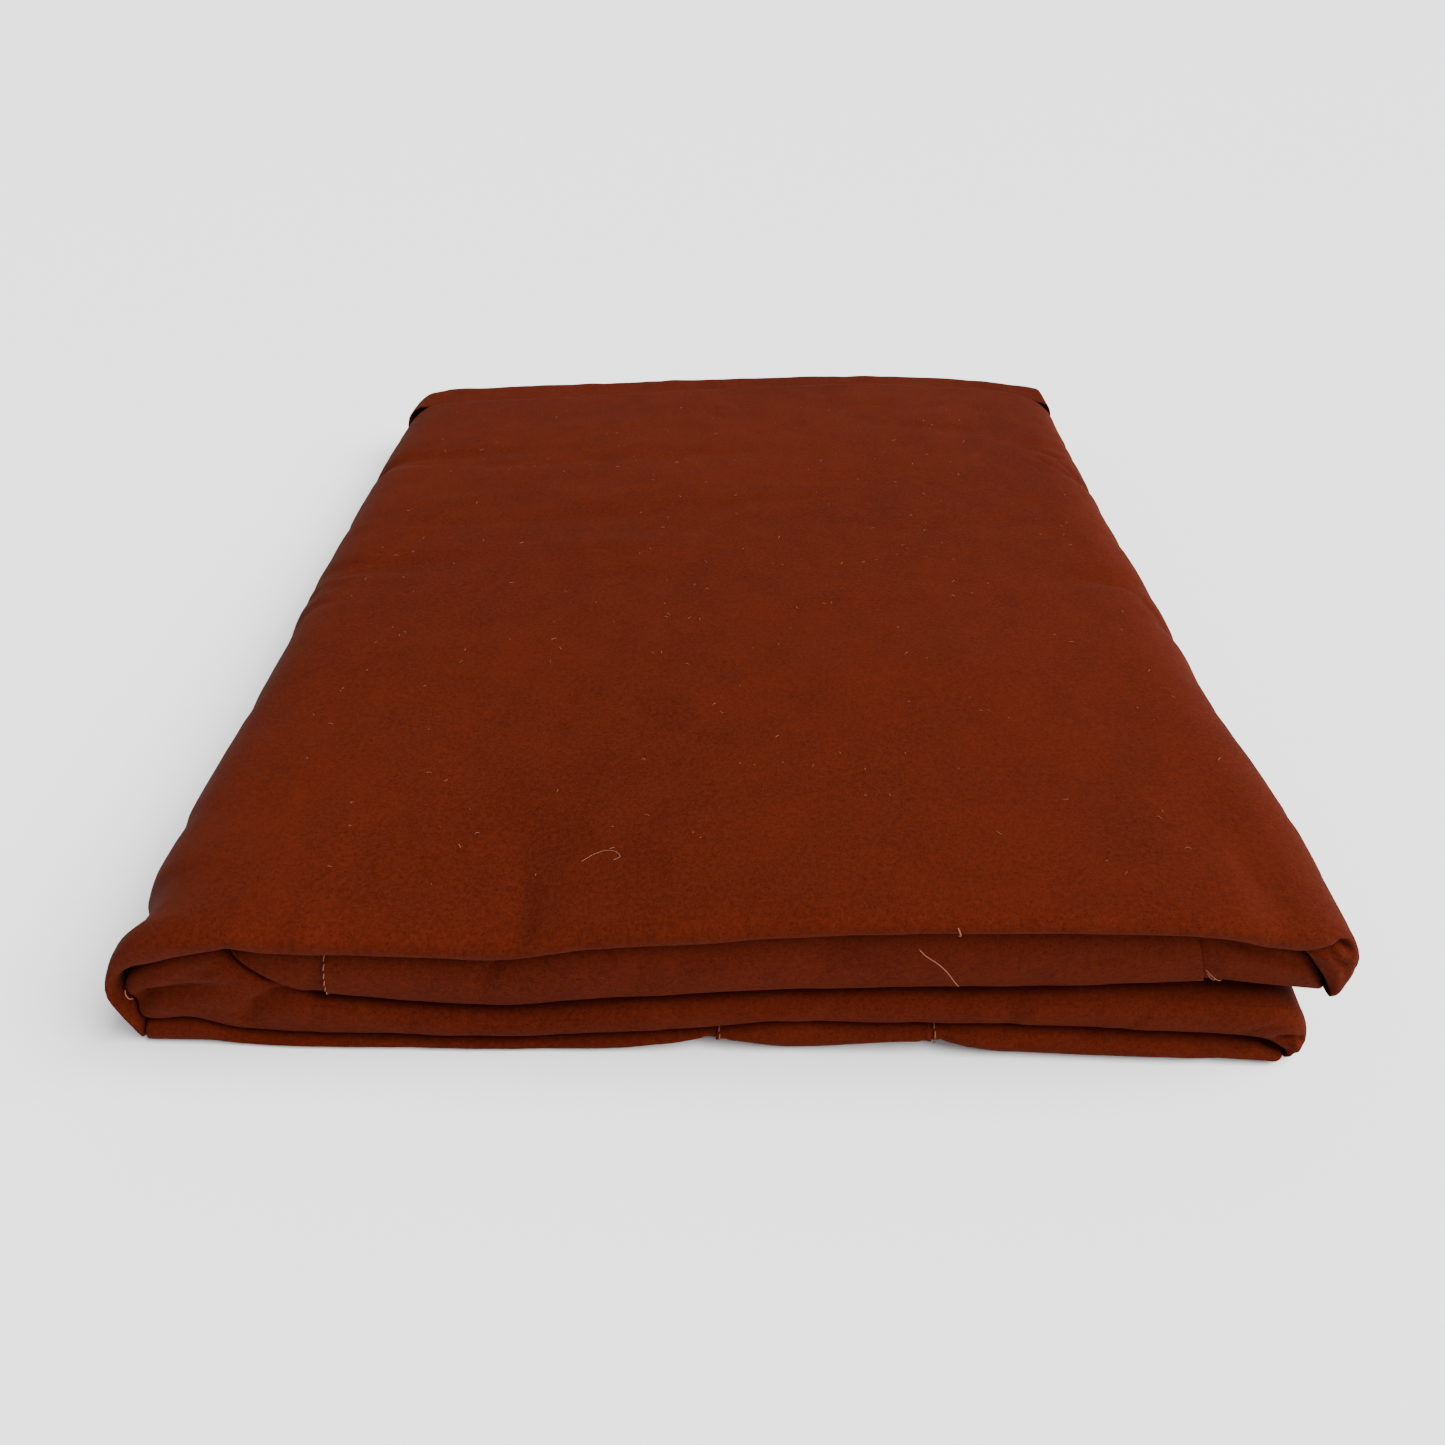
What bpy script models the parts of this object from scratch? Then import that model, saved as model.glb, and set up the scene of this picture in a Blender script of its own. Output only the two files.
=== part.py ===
"""A Buddhist monk's patchwork robe, folded flat into a square pack.

The robe is folded lengthwise into a strip of eight layers, and the strip lies folded in four.
The front shows four rounded folds, one above the other. The top panel wraps the left spine and
the upper right turn, the third fold wraps the lower right turn, and the layers that nothing
shows share one rounded solid with layered edges. Units are metres, +Z is up and the front
faces -Y. Tables give their lengths in millimetres, as each heading says.
"""

from collections import namedtuple

import bmesh
import bpy
import numpy as np

# Driving dimensions
MM = 0.001
CLOTH = 1.5 * MM
SEAM_GAP = 0.5 * MM
FOLD_GAP = 0.7 * MM
LIP_START = -239 * MM
TUCK_DEPTH = 5 * MM
TURN_GROOVE = 33 * MM
LOWER_TURN_BACK = 222 * MM
BACK_COVER = 34 * MM
BACK_NOSE = 8 * MM
BACK_STEP = 1.9 * MM
BACK_LOW_EDGE = 0.51
BACK_END_X = 175 * MM
GROOVE_BACK = -236.5 * MM
CORE_MARGIN = 2.3 * MM
CAP_DROP = 4.5 * MM
CAP_BACK_DROP = 3.2 * MM
SPINE_MARGIN = 4.8 * MM
STRIP_LEAST = 1.0 * MM
FLOOR_INSET = 12 * MM
SHELF_STEP = 1.6 * MM
SPINE_ROLL = 45 * MM
NOSE_ROLL = 34 * MM
LOWER_ROLL = 30 * MM
NOSE_FULLNESS = 0.55
CORNER_X = 160 * MM
CORNER_Y = 205 * MM
CORNER_FULLNESS = (0.4, 0.6, 0.7, 0.4)
FRONT_BLEND = 60 * MM
SHELF_BLEND_X = 110 * MM
SHELF_RISE = 4 * MM
BACK_CLEAR = 3.0 * MM
BACK_MARGIN = 3.7 * MM
BACK_NOSE_KEYS = (0.0, 0.25, 0.5, 0.75, 1.0)
BACK_NOSE_SHARES = (0.2, 0.2, 0.3, 0.8, 1.0)
BACK_REST = 174 * MM
BACK_REST_RAMP = 12 * MM
FLOOR_ROUND = 0.08
THIN_STRIP = 6 * MM
THIN_RAMP = 3 * MM
END_DROP = 1 * MM
TAIL_LENGTH = 3 * MM
TAIL_REACH = 15 * MM
TAIL_START = 165 * MM
TAIL_RAMP = 8 * MM
TAIL_SPREAD = 2.2 * MM
END_TURN = 7 * MM

# The middle of the pack's outline, which is moved onto the origin
OUTLINE_MIDDLE = (-3.5 * MM, 2.2 * MM, 0.0)

# Height of each fold line along the front, in millimetres
FrontRow = namedtuple("FrontRow", "x top lip second third bottom")
FRONT_LINES = (
    FrontRow(-196, 46.0, 36.0, 22.0, 9.0, 0.0),
    FrontRow(-177, 52.0, 39.5, 22.0, 10.4, 0.0),
    FrontRow(-159, 56.0, 47.8, 22.4, 6.4, 0.0),
    FrontRow(-140, 55.0, 45.0, 22.4, 5.8, 0.0),
    FrontRow(-102, 53.5, 44.3, 18.7, 6.0, 0.0),
    FrontRow(-76, 52.5, 42.7, 17.2, 6.0, 0.0),
    FrontRow(-41, 57.0, 48.2, 20.4, 7.2, 0.0),
    FrontRow(-6, 60.5, 51.2, 23.0, 9.2, 5.2),
    FrontRow(20, 62.5, 54.1, 24.9, 12.3, 0.0),
    FrontRow(62, 64.5, 56.4, 26.3, 12.0, 5.2),
    FrontRow(90, 65.0, 57.0, 26.6, 12.0, 0.0),
    FrontRow(135, 64.5, 56.4, 28.8, 9.8, 0.0),
    FrontRow(152, 63.0, 53.8, 30.0, 9.4, 0.0),
    FrontRow(167, 60.5, 49.0, 28.8, 7.8, 0.0),
    FrontRow(178, 60.3, 47.0, 27.2, 4.0, 0.0),
    FrontRow(196, 60.0, 45.0, 24.6, 1.0, 0.0),
)

# Front reach of each fold along the pack, in millimetres
ReachRow = namedtuple("ReachRow", "x lip second third bottom")
FRONT_REACH = (
    ReachRow(-196, -245.5, -243.0, -243.0, -243.5),
    ReachRow(-140, -248.5, -245.0, -245.0, -245.5),
    ReachRow(-76, -248.5, -245.5, -246.5, -246.5),
    ReachRow(0, -249.0, -245.5, -246.0, -246.5),
    ReachRow(90, -250.0, -246.0, -247.0, -248.5),
    ReachRow(150, -250.5, -246.0, -249.0, -250.5),
    ReachRow(196, -249.0, -245.0, -250.0, -251.0),
)

# Height of the top panel at five stations across, in millimetres
TOP_STATIONS = (-185, -92, 0, 92, 185)
TopRow = namedtuple("TopRow", "y far_left left middle right far_right")
TOP_HEIGHTS = (
    TopRow(-236, 52.0, 53.0, 61.0, 65.0, 60.0),
    TopRow(-190, 52.0, 54.5, 60.5, 64.0, 61.5),
    TopRow(-100, 51.0, 54.5, 58.5, 61.0, 59.0),
    TopRow(0, 48.5, 52.5, 55.5, 57.0, 55.0),
    TopRow(110, 46.5, 50.0, 52.0, 53.0, 51.0),
    TopRow(250, 42.5, 45.0, 46.5, 47.5, 45.5),
)

# Half outline of the pack seen from above, in millimetres
SideRow = namedtuple("SideRow", "y left upper_right lower_right underside")
SIDE_LINES = (
    SideRow(-250, -202.4, 188.0, 184.0, 28.2),
    SideRow(-236, -200.8, 192.7, 185.5, 28.6),
    SideRow(-214, -196.6, 192.7, 186.0, 29.6),
    SideRow(-196, -196.0, 192.7, 186.5, 30.0),
    SideRow(-155, -198.8, 190.6, 186.0, 29.8),
    SideRow(-115, -200.3, 188.2, 185.5, 29.4),
    SideRow(-60, -199.8, 189.6, 185.0, 28.5),
    SideRow(-20, -202.6, 190.6, 185.5, 28.0),
    SideRow(30, -202.6, 190.0, 185.5, 27.0),
    SideRow(110, -202.8, 191.7, 186.5, 26.0),
    SideRow(170, -202.6, 193.6, 187.5, 25.0),
    SideRow(205, -201.6, 194.7, 188.0, 24.5),
    SideRow(250, -199.0, 194.7, 187.5, 24.0),
)

# Back edges seen from above, in millimetres
BackRow = namedtuple("BackRow", "x panel layer")
BACK_LINES = (
    BackRow(-203, 203, 224),
    BackRow(-196, 205, 231),
    BackRow(-188, 206, 237),
    BackRow(-176, 206, 241),
    BackRow(-148, 207, 243),
    BackRow(-80, 212, 246),
    BackRow(-8, 220, 251),
    BackRow(80, 227, 255),
    BackRow(150, 221, 250),
    BackRow(176, 212, 243),
    BackRow(190, 203, 238),
    BackRow(196, 198, 233),
)

# How the left spine, the upper turn and the lower turn roll round, in shares of their height
RollRow = namedtuple("RollRow", "step inset height")
SPINE_PROFILE = (
    RollRow(0.00, 3.2, 0.02),
    RollRow(0.12, 3.0, 0.12),
    RollRow(0.26, 1.7, 0.28),
    RollRow(0.40, 0.0, 0.47),
    RollRow(0.54, 3.6, 0.66),
    RollRow(0.67, 9.8, 0.82),
    RollRow(0.79, 18.0, 0.93),
    RollRow(0.90, 31.0, 0.985),
    RollRow(1.00, 45.0, 1.00),
)
UPPER_TURN_PROFILE = (
    RollRow(0.00, 34.0, 1.00),
    RollRow(0.12, 22.0, 0.975),
    RollRow(0.28, 11.0, 0.88),
    RollRow(0.44, 3.6, 0.70),
    RollRow(0.58, 0.0, 0.46),
    RollRow(0.70, 0.5, 0.27),
    RollRow(0.82, 2.0, 0.10),
    RollRow(0.91, 3.4, 0.03),
    RollRow(1.00, 5.4, 0.00),
)
LOWER_TURN_PROFILE = (
    RollRow(0.00, 30.0, 1.00),
    RollRow(0.16, 16.0, 0.965),
    RollRow(0.34, 6.5, 0.82),
    RollRow(0.52, 1.2, 0.56),
    RollRow(0.66, 0.0, 0.36),
    RollRow(0.80, 1.2, 0.15),
    RollRow(0.90, 3.2, 0.06),
    RollRow(1.00, 6.5, 0.02),
)
BACK_END_PROFILE = (
    RollRow(0.00, 12.0, 1.00),
    RollRow(0.30, 3.5, 0.99),
    RollRow(0.50, 1.4, 0.94),
    RollRow(0.70, 0.3, 0.84),
    RollRow(1.00, 1.6, 0.58),
)
BACK_LEFT_PROFILE = (
    RollRow(0.00, 22.0, 1.00),
    RollRow(0.30, 12.0, 0.99),
    RollRow(0.50, 7.0, 0.94),
    RollRow(0.70, 2.8, 0.83),
    RollRow(1.00, 0.4, 0.56),
)

# Inner edge of the lip where it runs down the spine and round the turns, in millimetres
InnerRow = namedtuple("InnerRow", "step x z reach")
SPINE_LIP = (
    InnerRow(0.00, -193.2, 2.6, -242.0),
    InnerRow(0.12, -193.2, 8.5, -244.0),
    InnerRow(0.26, -194.6, 15.0, -245.0),
    InnerRow(0.40, -196.2, 24.0, -245.8),
    InnerRow(0.54, -194.2, 30.6, -245.6),
    InnerRow(0.67, -188.4, 36.4, -246.4),
    InnerRow(0.79, -178.5, 40.0, -247.6),
    InnerRow(0.90, -166.0, 44.5, -248.5),
    InnerRow(1.00, -154.5, 47.6, -248.5),
)
UPPER_TURN_LIP = (
    InnerRow(0.00, 161.0, 51.6, -250.2),
    InnerRow(0.12, 167.0, 49.8, -250.0),
    InnerRow(0.28, 171.6, 48.8, -249.5),
    InnerRow(0.44, 175.2, 45.8, -249.0),
    InnerRow(0.58, 178.2, 42.0, -248.5),
    InnerRow(0.70, 181.2, 38.0, -248.0),
    InnerRow(0.82, 184.4, 34.0, -247.5),
    InnerRow(1.00, 186.0, 31.4, -246.5),
)
LOWER_TURN_LIP = (
    InnerRow(0.00, 154.0, 10.0, -249.2),
    InnerRow(0.16, 160.0, 9.6, -249.4),
    InnerRow(0.34, 166.0, 9.2, -249.6),
    InnerRow(0.52, 171.5, 8.0, -249.8),
    InnerRow(0.66, 175.2, 6.2, -249.8),
    InnerRow(0.80, 178.4, 4.2, -249.4),
    InnerRow(1.00, 179.8, 2.4, -248.0),
)

# The third fold's left end, from the spine to the tuck: upper edge, lower x and reach in millimetres
LeftRow = namedtuple("LeftRow", "step x z low_x reach")
THIRD_FOLD_LEFT = (
    LeftRow(0.00, -193.6, 19.0, -192.0, -240.8),
    LeftRow(0.08, -194.4, 25.2, -191.6, -242.4),
    LeftRow(0.18, -190.4, 31.6, -188.4, -243.8),
    LeftRow(0.30, -181.6, 36.7, -181.0, -244.8),
    LeftRow(0.44, -170.6, 41.3, -171.0, -245.0),
    LeftRow(0.56, -161.6, 43.8, -163.0, -245.0),
    LeftRow(0.68, -156.6, 38.0, -156.5, -244.8),
    LeftRow(0.80, -149.4, 31.0, -149.0, -244.8),
    LeftRow(0.90, -142.0, 25.6, -142.5, -244.9),
    LeftRow(1.00, -133.5, 20.2, -134.5, -245.0),
)

# Creases pressed into the third fold's left end: x, z and depth of each point in millimetres
CreaseLine = namedtuple("CreaseLine", "half_width points")
LEFT_CREASES = (
    CreaseLine(3.4, ((-191.5, 18.5, 3.0), (-187.0, 22.5, 4.0), (-175.0, 26.0, 3.4), (-163.5, 28.5, 1.6),
                     (-152.0, 29.5, 0.0))),
    CreaseLine(3.6, ((-158.0, 9.0, 0.0), (-156.5, 15.5, 1.6), (-153.0, 20.0, 2.6), (-146.5, 24.0, 3.6),
                     (-138.0, 25.6, 3.4))),
)

# Soft ripples of the top panel: middle, half lengths, turn in degrees and height in millimetres
RippleRow = namedtuple("RippleRow", "x y half_length half_width turn height")
RIPPLES = (
    RippleRow(-160, 119, 52, 7, 4, -1.6),
    RippleRow(-60, 110, 70, 9, 4, -0.8),
    RippleRow(-180, -8, 46, 7, 2, -2.0),
    RippleRow(-186, -36, 22, 6, 16, -1.8),
    RippleRow(-60, 38, 80, 10, 7, -1.0),
    RippleRow(-20, 24, 44, 12, 3, -1.0),
    RippleRow(-45, -30, 36, 11, 0, -0.9),
    RippleRow(-50, 6, 30, 10, 0, 1.0),
    RippleRow(180, 112, 26, 6, -42, -2.2),
    RippleRow(178, -46, 24, 7, -44, -2.4),
    RippleRow(153, -30, 20, 10, -10, -1.4),
    RippleRow(172, -226, 9, 15, 10, -3.0),
    RippleRow(-66, -228, 6, 22, 8, -1.0),
    RippleRow(60, -110, 110, 24, 5, 0.8),
    RippleRow(-120, -130, 90, 22, -6, -0.8),
)

# Upper edge of the second fold's left end, where it is tucked in, in millimetres
TuckRow = namedtuple("TuckRow", "x z")
TUCK_LINE = (TuckRow(-158, 42.0), TuckRow(-150, 43.8), TuckRow(-140, 60.0))

# Seams across the folds: lower and upper x in millimetres
SeamRow = namedtuple("SeamRow", "low high")
SECOND_FOLD_ENDS = (SeamRow(-134.0, -157.5), SeamRow(186.0, 172.0))
SECOND_FOLD_SEAMS = (SeamRow(-129.9, -126.9), SeamRow(148.0, 140.0))
BOTTOM_FOLD_ENDS = (SeamRow(-191.6, -191.4), SeamRow(176.0, 168.0))
BOTTOM_FOLD_SEAMS = (SeamRow(-5.8, -5.8), SeamRow(64.2, 64.0))

# Layer edges at the back: inset in millimetres, low and high in shares of the height
LayerRow = namedtuple("LayerRow", "inset low high")
BACK_LAYERS = (
    LayerRow(3.4, 0.00, 0.23),
    LayerRow(7.0, 0.26, 0.49),
    LayerRow(3.4, 0.57, 0.86),
    LayerRow(41.0, 0.87, 0.91),
)

# How far forward the hidden layers may come beside the corners' turns: x and y in millimetres
FRONT_LIMIT = ((-134, -232), (-124, -260), (142, -260), (152, -232))

# Colours of the cloth
CLOTH_COLOR = (0.120, 0.0170, 0.0065, 1.0)
INNER_COLOR = (0.085, 0.0120, 0.0050, 1.0)


def column(table, name):
    return np.array([getattr(row, name) for row in table], float)


def smooth(keys, values, at):
    """A smooth curve through the keys that never overshoots them.

    The values are one number for each key, or for each key one array of the places' shape.
    """
    keys = np.asarray(keys, float)
    at = np.clip(np.asarray(at, float), keys[0], keys[-1])
    values = np.asarray(values, float)
    values = values.reshape(values.shape + (1,) * (at.ndim + 1 - values.ndim))
    values = np.broadcast_to(values, (len(keys),) + at.shape)
    step = np.diff(keys).reshape((-1,) + (1,) * at.ndim)
    rise = np.diff(values, axis=0) / step
    slope = np.zeros(values.shape)
    same_way = rise[:-1] * rise[1:] > 0
    total = np.where(same_way, rise[:-1] + rise[1:], 1.0)
    slope[1:-1] = np.where(same_way, 2.0 * rise[:-1] * rise[1:] / total, 0.0)
    slope[0] = rise[0]
    slope[-1] = rise[-1]
    i = np.clip(np.searchsorted(keys, at, side="right") - 1, 0, len(keys) - 2)
    width = np.diff(keys)[i]
    t = (at - keys[i]) / width

    def pick(table, index):
        return np.take_along_axis(table, index[None], axis=0)[0]

    start, end = pick(values, i), pick(values, i + 1)
    bend_in, bend_out = pick(slope, i) * width, pick(slope, i + 1) * width
    line = start * (1 + 2 * t) * (1 - t) ** 2 + end * t**2 * (3 - 2 * t)
    return line + bend_in * t * (1 - t) ** 2 - bend_out * t**2 * (1 - t)


def from_table(table, key, name, at):
    """A table's named column in metres, at places along its key column in metres."""
    return smooth(column(table, key) * MM, column(table, name) * MM, at)


def roll(table, name, step):
    """A roll table's named column, at steps from 0 to 1."""
    return smooth(column(table, "step"), column(table, name), step)


def side(name, y):
    return from_table(SIDE_LINES, "y", name, y)


def ripple_height(x, y):
    """The rise and fall that the soft ripples add to the top panel."""
    total = np.zeros(np.broadcast(x, y).shape)
    for row in RIPPLES:
        angle = np.radians(row.turn)
        along = (x / MM - row.x) * np.cos(angle) + (y / MM - row.y) * np.sin(angle)
        across = -(x / MM - row.x) * np.sin(angle) + (y / MM - row.y) * np.cos(angle)
        fall = (along / row.half_length) ** 2 + (across / row.half_width) ** 2
        total += row.height * MM * np.exp(-fall)
    return total


def base_height(x, y):
    """The top panel's height without its ripples, with the front line's waves near the lip."""
    x, y = np.broadcast_arrays(np.asarray(x, float), np.asarray(y, float))
    stations = [from_table(TOP_HEIGHTS, "y", name, y) for name in TopRow._fields[1:]]
    base = smooth(np.array(TOP_STATIONS) * MM, np.array(stations), x)
    front = from_table(FRONT_LINES, "x", "top", x)
    near = np.clip((LIP_START + FRONT_BLEND - y) / FRONT_BLEND, 0.0, 1.0)
    near = near * near * (3 - 2 * near)
    return base * (1 - near) + front * near


def top_height(x, y):
    """The top panel's height with its ripples."""
    return base_height(x, y) + ripple_height(x, y)


def third_crown(x, y):
    """Height of the third fold's cloth along the lower pack's top."""
    crown_x = side("lower_right", y) - LOWER_ROLL
    shelf = side("underside", y) - SHELF_STEP
    line = from_table(FRONT_LINES, "x", "second", x) - SHELF_STEP
    blend = np.clip((x - SHELF_BLEND_X) / (crown_x - SHELF_BLEND_X), 0, 1)
    return np.minimum(line, shelf + SHELF_RISE) * (1 - blend) + np.minimum(line, shelf) * blend


def back_crown(x):
    """Height of the layer that shows behind the top panel."""
    panel = from_table(BACK_LINES, "x", "panel", x)
    return top_height(x, panel) - CLOTH - BACK_STEP


def panel_grid(y, spine_steps, top_steps, turn_steps):
    """Points of the top panel for a grid of y: its columns run from the spine to the turn."""
    ends = np.cumsum([len(spine_steps), len(top_steps)])
    y_spine, y_top, y_turn = np.split(y, ends, axis=1)
    left = side("left", y_spine)
    x_spine = left + roll(SPINE_PROFILE, "inset", spine_steps)[None] * MM
    z_spine = top_height(left + SPINE_ROLL, y_spine) * roll(SPINE_PROFILE, "height", spine_steps)[None]
    start = side("left", y_top) + SPINE_ROLL
    x_top = start + (side("upper_right", y_top) - NOSE_ROLL - start) * top_steps[None]
    z_top = top_height(x_top, y_top)
    right = side("upper_right", y_turn)
    under = side("underside", y_turn)
    crown = top_height(right - NOSE_ROLL, y_turn)
    x_turn = right - roll(UPPER_TURN_PROFILE, "inset", turn_steps)[None] * MM
    z_turn = under + (crown - under) * roll(UPPER_TURN_PROFILE, "height", turn_steps)[None]
    x = np.concatenate([x_spine, x_top, x_turn], axis=1)
    z = np.concatenate([z_spine, z_top, z_turn], axis=1)
    return np.stack([x, y, z], axis=2)


def grid_normals(grid):
    """Unit normals of a grid of points, by its neighbours' differences."""
    along = np.gradient(grid, axis=0)
    across = np.gradient(grid, axis=1)
    normal = np.cross(along, across)
    size = np.linalg.norm(normal, axis=2, keepdims=True)
    return normal / np.maximum(size, 1e-12)


def add_object(name, bm, color):
    """Close a mesh into a named object with its own cloth material."""
    bmesh.ops.triangulate(bm, faces=bm.faces)
    bmesh.ops.recalc_face_normals(bm, faces=bm.faces)
    mesh = bpy.data.meshes.new(name)
    bm.to_mesh(mesh)
    bm.free()
    mesh.shade_smooth()
    obj = bpy.data.objects.new(name, mesh)
    obj.location = [-value for value in OUTLINE_MIDDLE]
    bpy.context.scene.collection.objects.link(obj)
    material = bpy.data.materials.new(name + "_cloth")
    material.use_nodes = True
    shader = material.node_tree.nodes["Principled BSDF"]
    shader.inputs["Base Color"].default_value = color
    shader.inputs["Roughness"].default_value = 0.95
    shader.inputs["Metallic"].default_value = 0.0
    mesh.materials.append(material)
    return obj


def cloth_wall(name, outer, keep=None, color=CLOTH_COLOR):
    """A closed wall of cloth: the outer grid, the same grid moved in, and rims where it ends."""
    inner = outer + grid_normals(outer) * CLOTH
    count_u, count_v = outer.shape[:2]
    if keep is None:
        keep = np.ones((count_u - 1, count_v - 1), bool)
    bm = bmesh.new()
    made = {}

    def vertex(layer, i, j):
        if (layer, i, j) not in made:
            made[(layer, i, j)] = bm.verts.new((outer, inner)[layer][i, j])
        return made[(layer, i, j)]

    def kept(i, j):
        return 0 <= i < count_u - 1 and 0 <= j < count_v - 1 and keep[i, j]

    for i, j in np.argwhere(keep):
        corners = ((i, j), (i + 1, j), (i + 1, j + 1), (i, j + 1))
        bm.faces.new([vertex(0, *c) for c in corners])
        bm.faces.new([vertex(1, *c) for c in reversed(corners)])
        neighbours = ((i, j - 1), (i + 1, j), (i, j + 1), (i - 1, j))
        for k, beside in enumerate(neighbours):
            if not kept(*beside):
                a = corners[k]
                b = corners[(k + 1) % 4]
                bm.faces.new([vertex(0, *b), vertex(0, *a), vertex(1, *a), vertex(1, *b)])
    return add_object(name, bm, color)


def lip_rows(outer, inner, front, start, turns):
    """Rows that carry a section round a fold's nose, from its outer to its inner curve."""
    turns = np.radians(turns)[:, None]
    share = (1 - np.cos(turns)) / 2
    x = outer[0] + (inner[0] - outer[0]) * share
    z = outer[1] + (inner[1] - outer[1]) * share
    y = start + (front - start) * np.sin(turns) ** NOSE_FULLNESS
    return np.stack([x, y, z], axis=2)


def top_panel():
    """The large outer panel: top, front lip, left spine and upper right turn."""
    spine_steps = np.linspace(0, 1, 10)[:-1]
    top_steps = np.linspace(0, 1, 25)
    turn_steps = np.linspace(0, 1, 12)[1:]
    count = len(spine_steps) + len(top_steps) + len(turn_steps)
    section = panel_grid(np.full((1, count), LIP_START), spine_steps, top_steps, turn_steps)[0]
    back = from_table(BACK_LINES, "x", "panel", section[:, 0])
    y = LIP_START + (back - LIP_START) * np.linspace(1, 0, 19)[:, None]
    body = panel_grid(y, spine_steps, top_steps, turn_steps)
    inner_x = section[:, 0].copy()
    inner_x[:len(spine_steps)] = roll(SPINE_LIP, "x", spine_steps) * MM
    inner_x[-len(turn_steps):] = roll(UPPER_TURN_LIP, "x", turn_steps) * MM
    inner_z = from_table(FRONT_LINES, "x", "lip", inner_x)
    inner_z[:len(spine_steps)] = roll(SPINE_LIP, "z", spine_steps) * MM
    inner_z[-len(turn_steps):] = roll(UPPER_TURN_LIP, "z", turn_steps) * MM
    front = from_table(FRONT_REACH, "x", "lip", section[:, 0])
    front[:len(spine_steps)] = roll(SPINE_LIP, "reach", spine_steps) * MM
    front[-len(turn_steps):] = roll(UPPER_TURN_LIP, "reach", turn_steps) * MM
    turns = [20, 45, 70, 90, 110, 135, 160, 180]
    lip = lip_rows((section[:, 0], section[:, 2]), (inner_x, inner_z), front, LIP_START, turns)
    tuck = lip[-1:] + np.array([0, TUCK_DEPTH, 0])
    cloth_wall("top_panel", np.concatenate([body, lip, tuck])[::-1])


def fold_band(low, high, reach, back, count):
    """A fold's nose between its lower and upper edge: a grid of stations by turns."""
    turns = np.linspace(0, 180, count)
    return lip_rows(low, high, reach, back, turns)


def across_fold(ends, seams, counts):
    """Stations of the pieces between a fold's ends and seams, a seam gap apart."""
    marks = (ends[0],) + tuple(seams) + (ends[1],)
    for i, count in enumerate(counts):
        start = SEAM_GAP / 2 if i > 0 else 0.0
        stop = SEAM_GAP / 2 if i < len(counts) - 1 else 0.0
        low = np.linspace(marks[i].low * MM + start, marks[i + 1].low * MM - stop, count)
        high = np.linspace(marks[i].high * MM + start, marks[i + 1].high * MM - stop, count)
        yield low, high


def end_setback(x, end, depth):
    """How far a fold's nose draws back where it nears its right end."""
    near = np.clip((x - (end - END_TURN)) / END_TURN, 0, 1)
    return depth * near * near


def second_fold_grid(low_x, high_x, count):
    """The upper pack's lower fold between two rows of stations."""
    low_z = from_table(FRONT_LINES, "x", "second", low_x) + FOLD_GAP / 2
    limit = from_table(TUCK_LINE, "x", "z", high_x)
    high_z = np.minimum(from_table(FRONT_LINES, "x", "lip", high_x) - FOLD_GAP, limit)
    reach = from_table(FRONT_REACH, "x", "second", (low_x + high_x) / 2)
    reach += end_setback(low_x, SECOND_FOLD_ENDS[1].low * MM, END_DROP)
    return fold_band((low_x, low_z), (high_x, high_z), reach, GROOVE_BACK, count)


def with_tail(grid):
    """The fold with one more row, which runs back from its lower edge between the two packs."""
    tail = grid[:1].copy()
    share = np.clip((tail[..., 0] - TAIL_START) / TAIL_RAMP, 0, 1)
    tail[..., 0] += TAIL_SPREAD * share
    tail[..., 1] += TAIL_LENGTH + TAIL_REACH * share
    return np.concatenate([tail, grid])


def second_fold():
    """The upper pack's lower fold, in three pieces joined at two seams."""
    names = ("second_fold_left", "second_fold_middle", "second_fold_right")
    pieces = across_fold(SECOND_FOLD_ENDS, SECOND_FOLD_SEAMS, (5, 26, 8))
    for name, (low_x, high_x) in zip(names, pieces):
        grid = second_fold_grid(low_x, high_x, 9)
        cloth_wall(name, with_tail(grid) if name == "second_fold_right" else grid)


def lower_grid(y, left_steps, top_steps, turn_steps):
    """Points of the third fold's cloth for rows of y: its columns run from left to right."""
    y = y[:, None]
    right = side("lower_right", y)
    crown_x = right - LOWER_ROLL
    x_left = np.repeat(roll(THIRD_FOLD_LEFT, "x", left_steps)[None] * MM, len(y), axis=0)
    z_left = np.repeat(roll(THIRD_FOLD_LEFT, "z", left_steps)[None] * MM, len(y), axis=0)
    start = THIRD_FOLD_LEFT[-1].x * MM
    x_top = start + (crown_x - start) * top_steps[None]
    z_top = third_crown(x_top, y)
    x_turn = right - roll(LOWER_TURN_PROFILE, "inset", turn_steps)[None] * MM
    z_turn = third_crown(crown_x, y) * roll(LOWER_TURN_PROFILE, "height", turn_steps)[None]
    x = np.concatenate([x_left, x_top, x_turn], axis=1)
    z = np.concatenate([z_left, z_top, z_turn], axis=1)
    return np.stack([x, np.broadcast_to(y, x.shape), z], axis=2)


def crease_depth(x, z, creases):
    """How deep the creases press a front face in at x and z."""
    total = np.zeros(x.shape)
    for crease in creases:
        pressed = np.zeros(x.shape)
        for (x0, z0, d0), (x1, z1, d1) in zip(crease.points, crease.points[1:]):
            run, lift = x1 - x0, z1 - z0
            t = np.clip(((x / MM - x0) * run + (z / MM - z0) * lift) / (run * run + lift * lift), 0, 1)
            away = np.hypot(x / MM - x0 - t * run, z / MM - z0 - t * lift)
            depth = (d0 + (d1 - d0) * t) * np.exp(-((away / crease.half_width) ** 2))
            pressed = np.maximum(pressed, depth)
        total += pressed * MM
    return total


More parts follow.
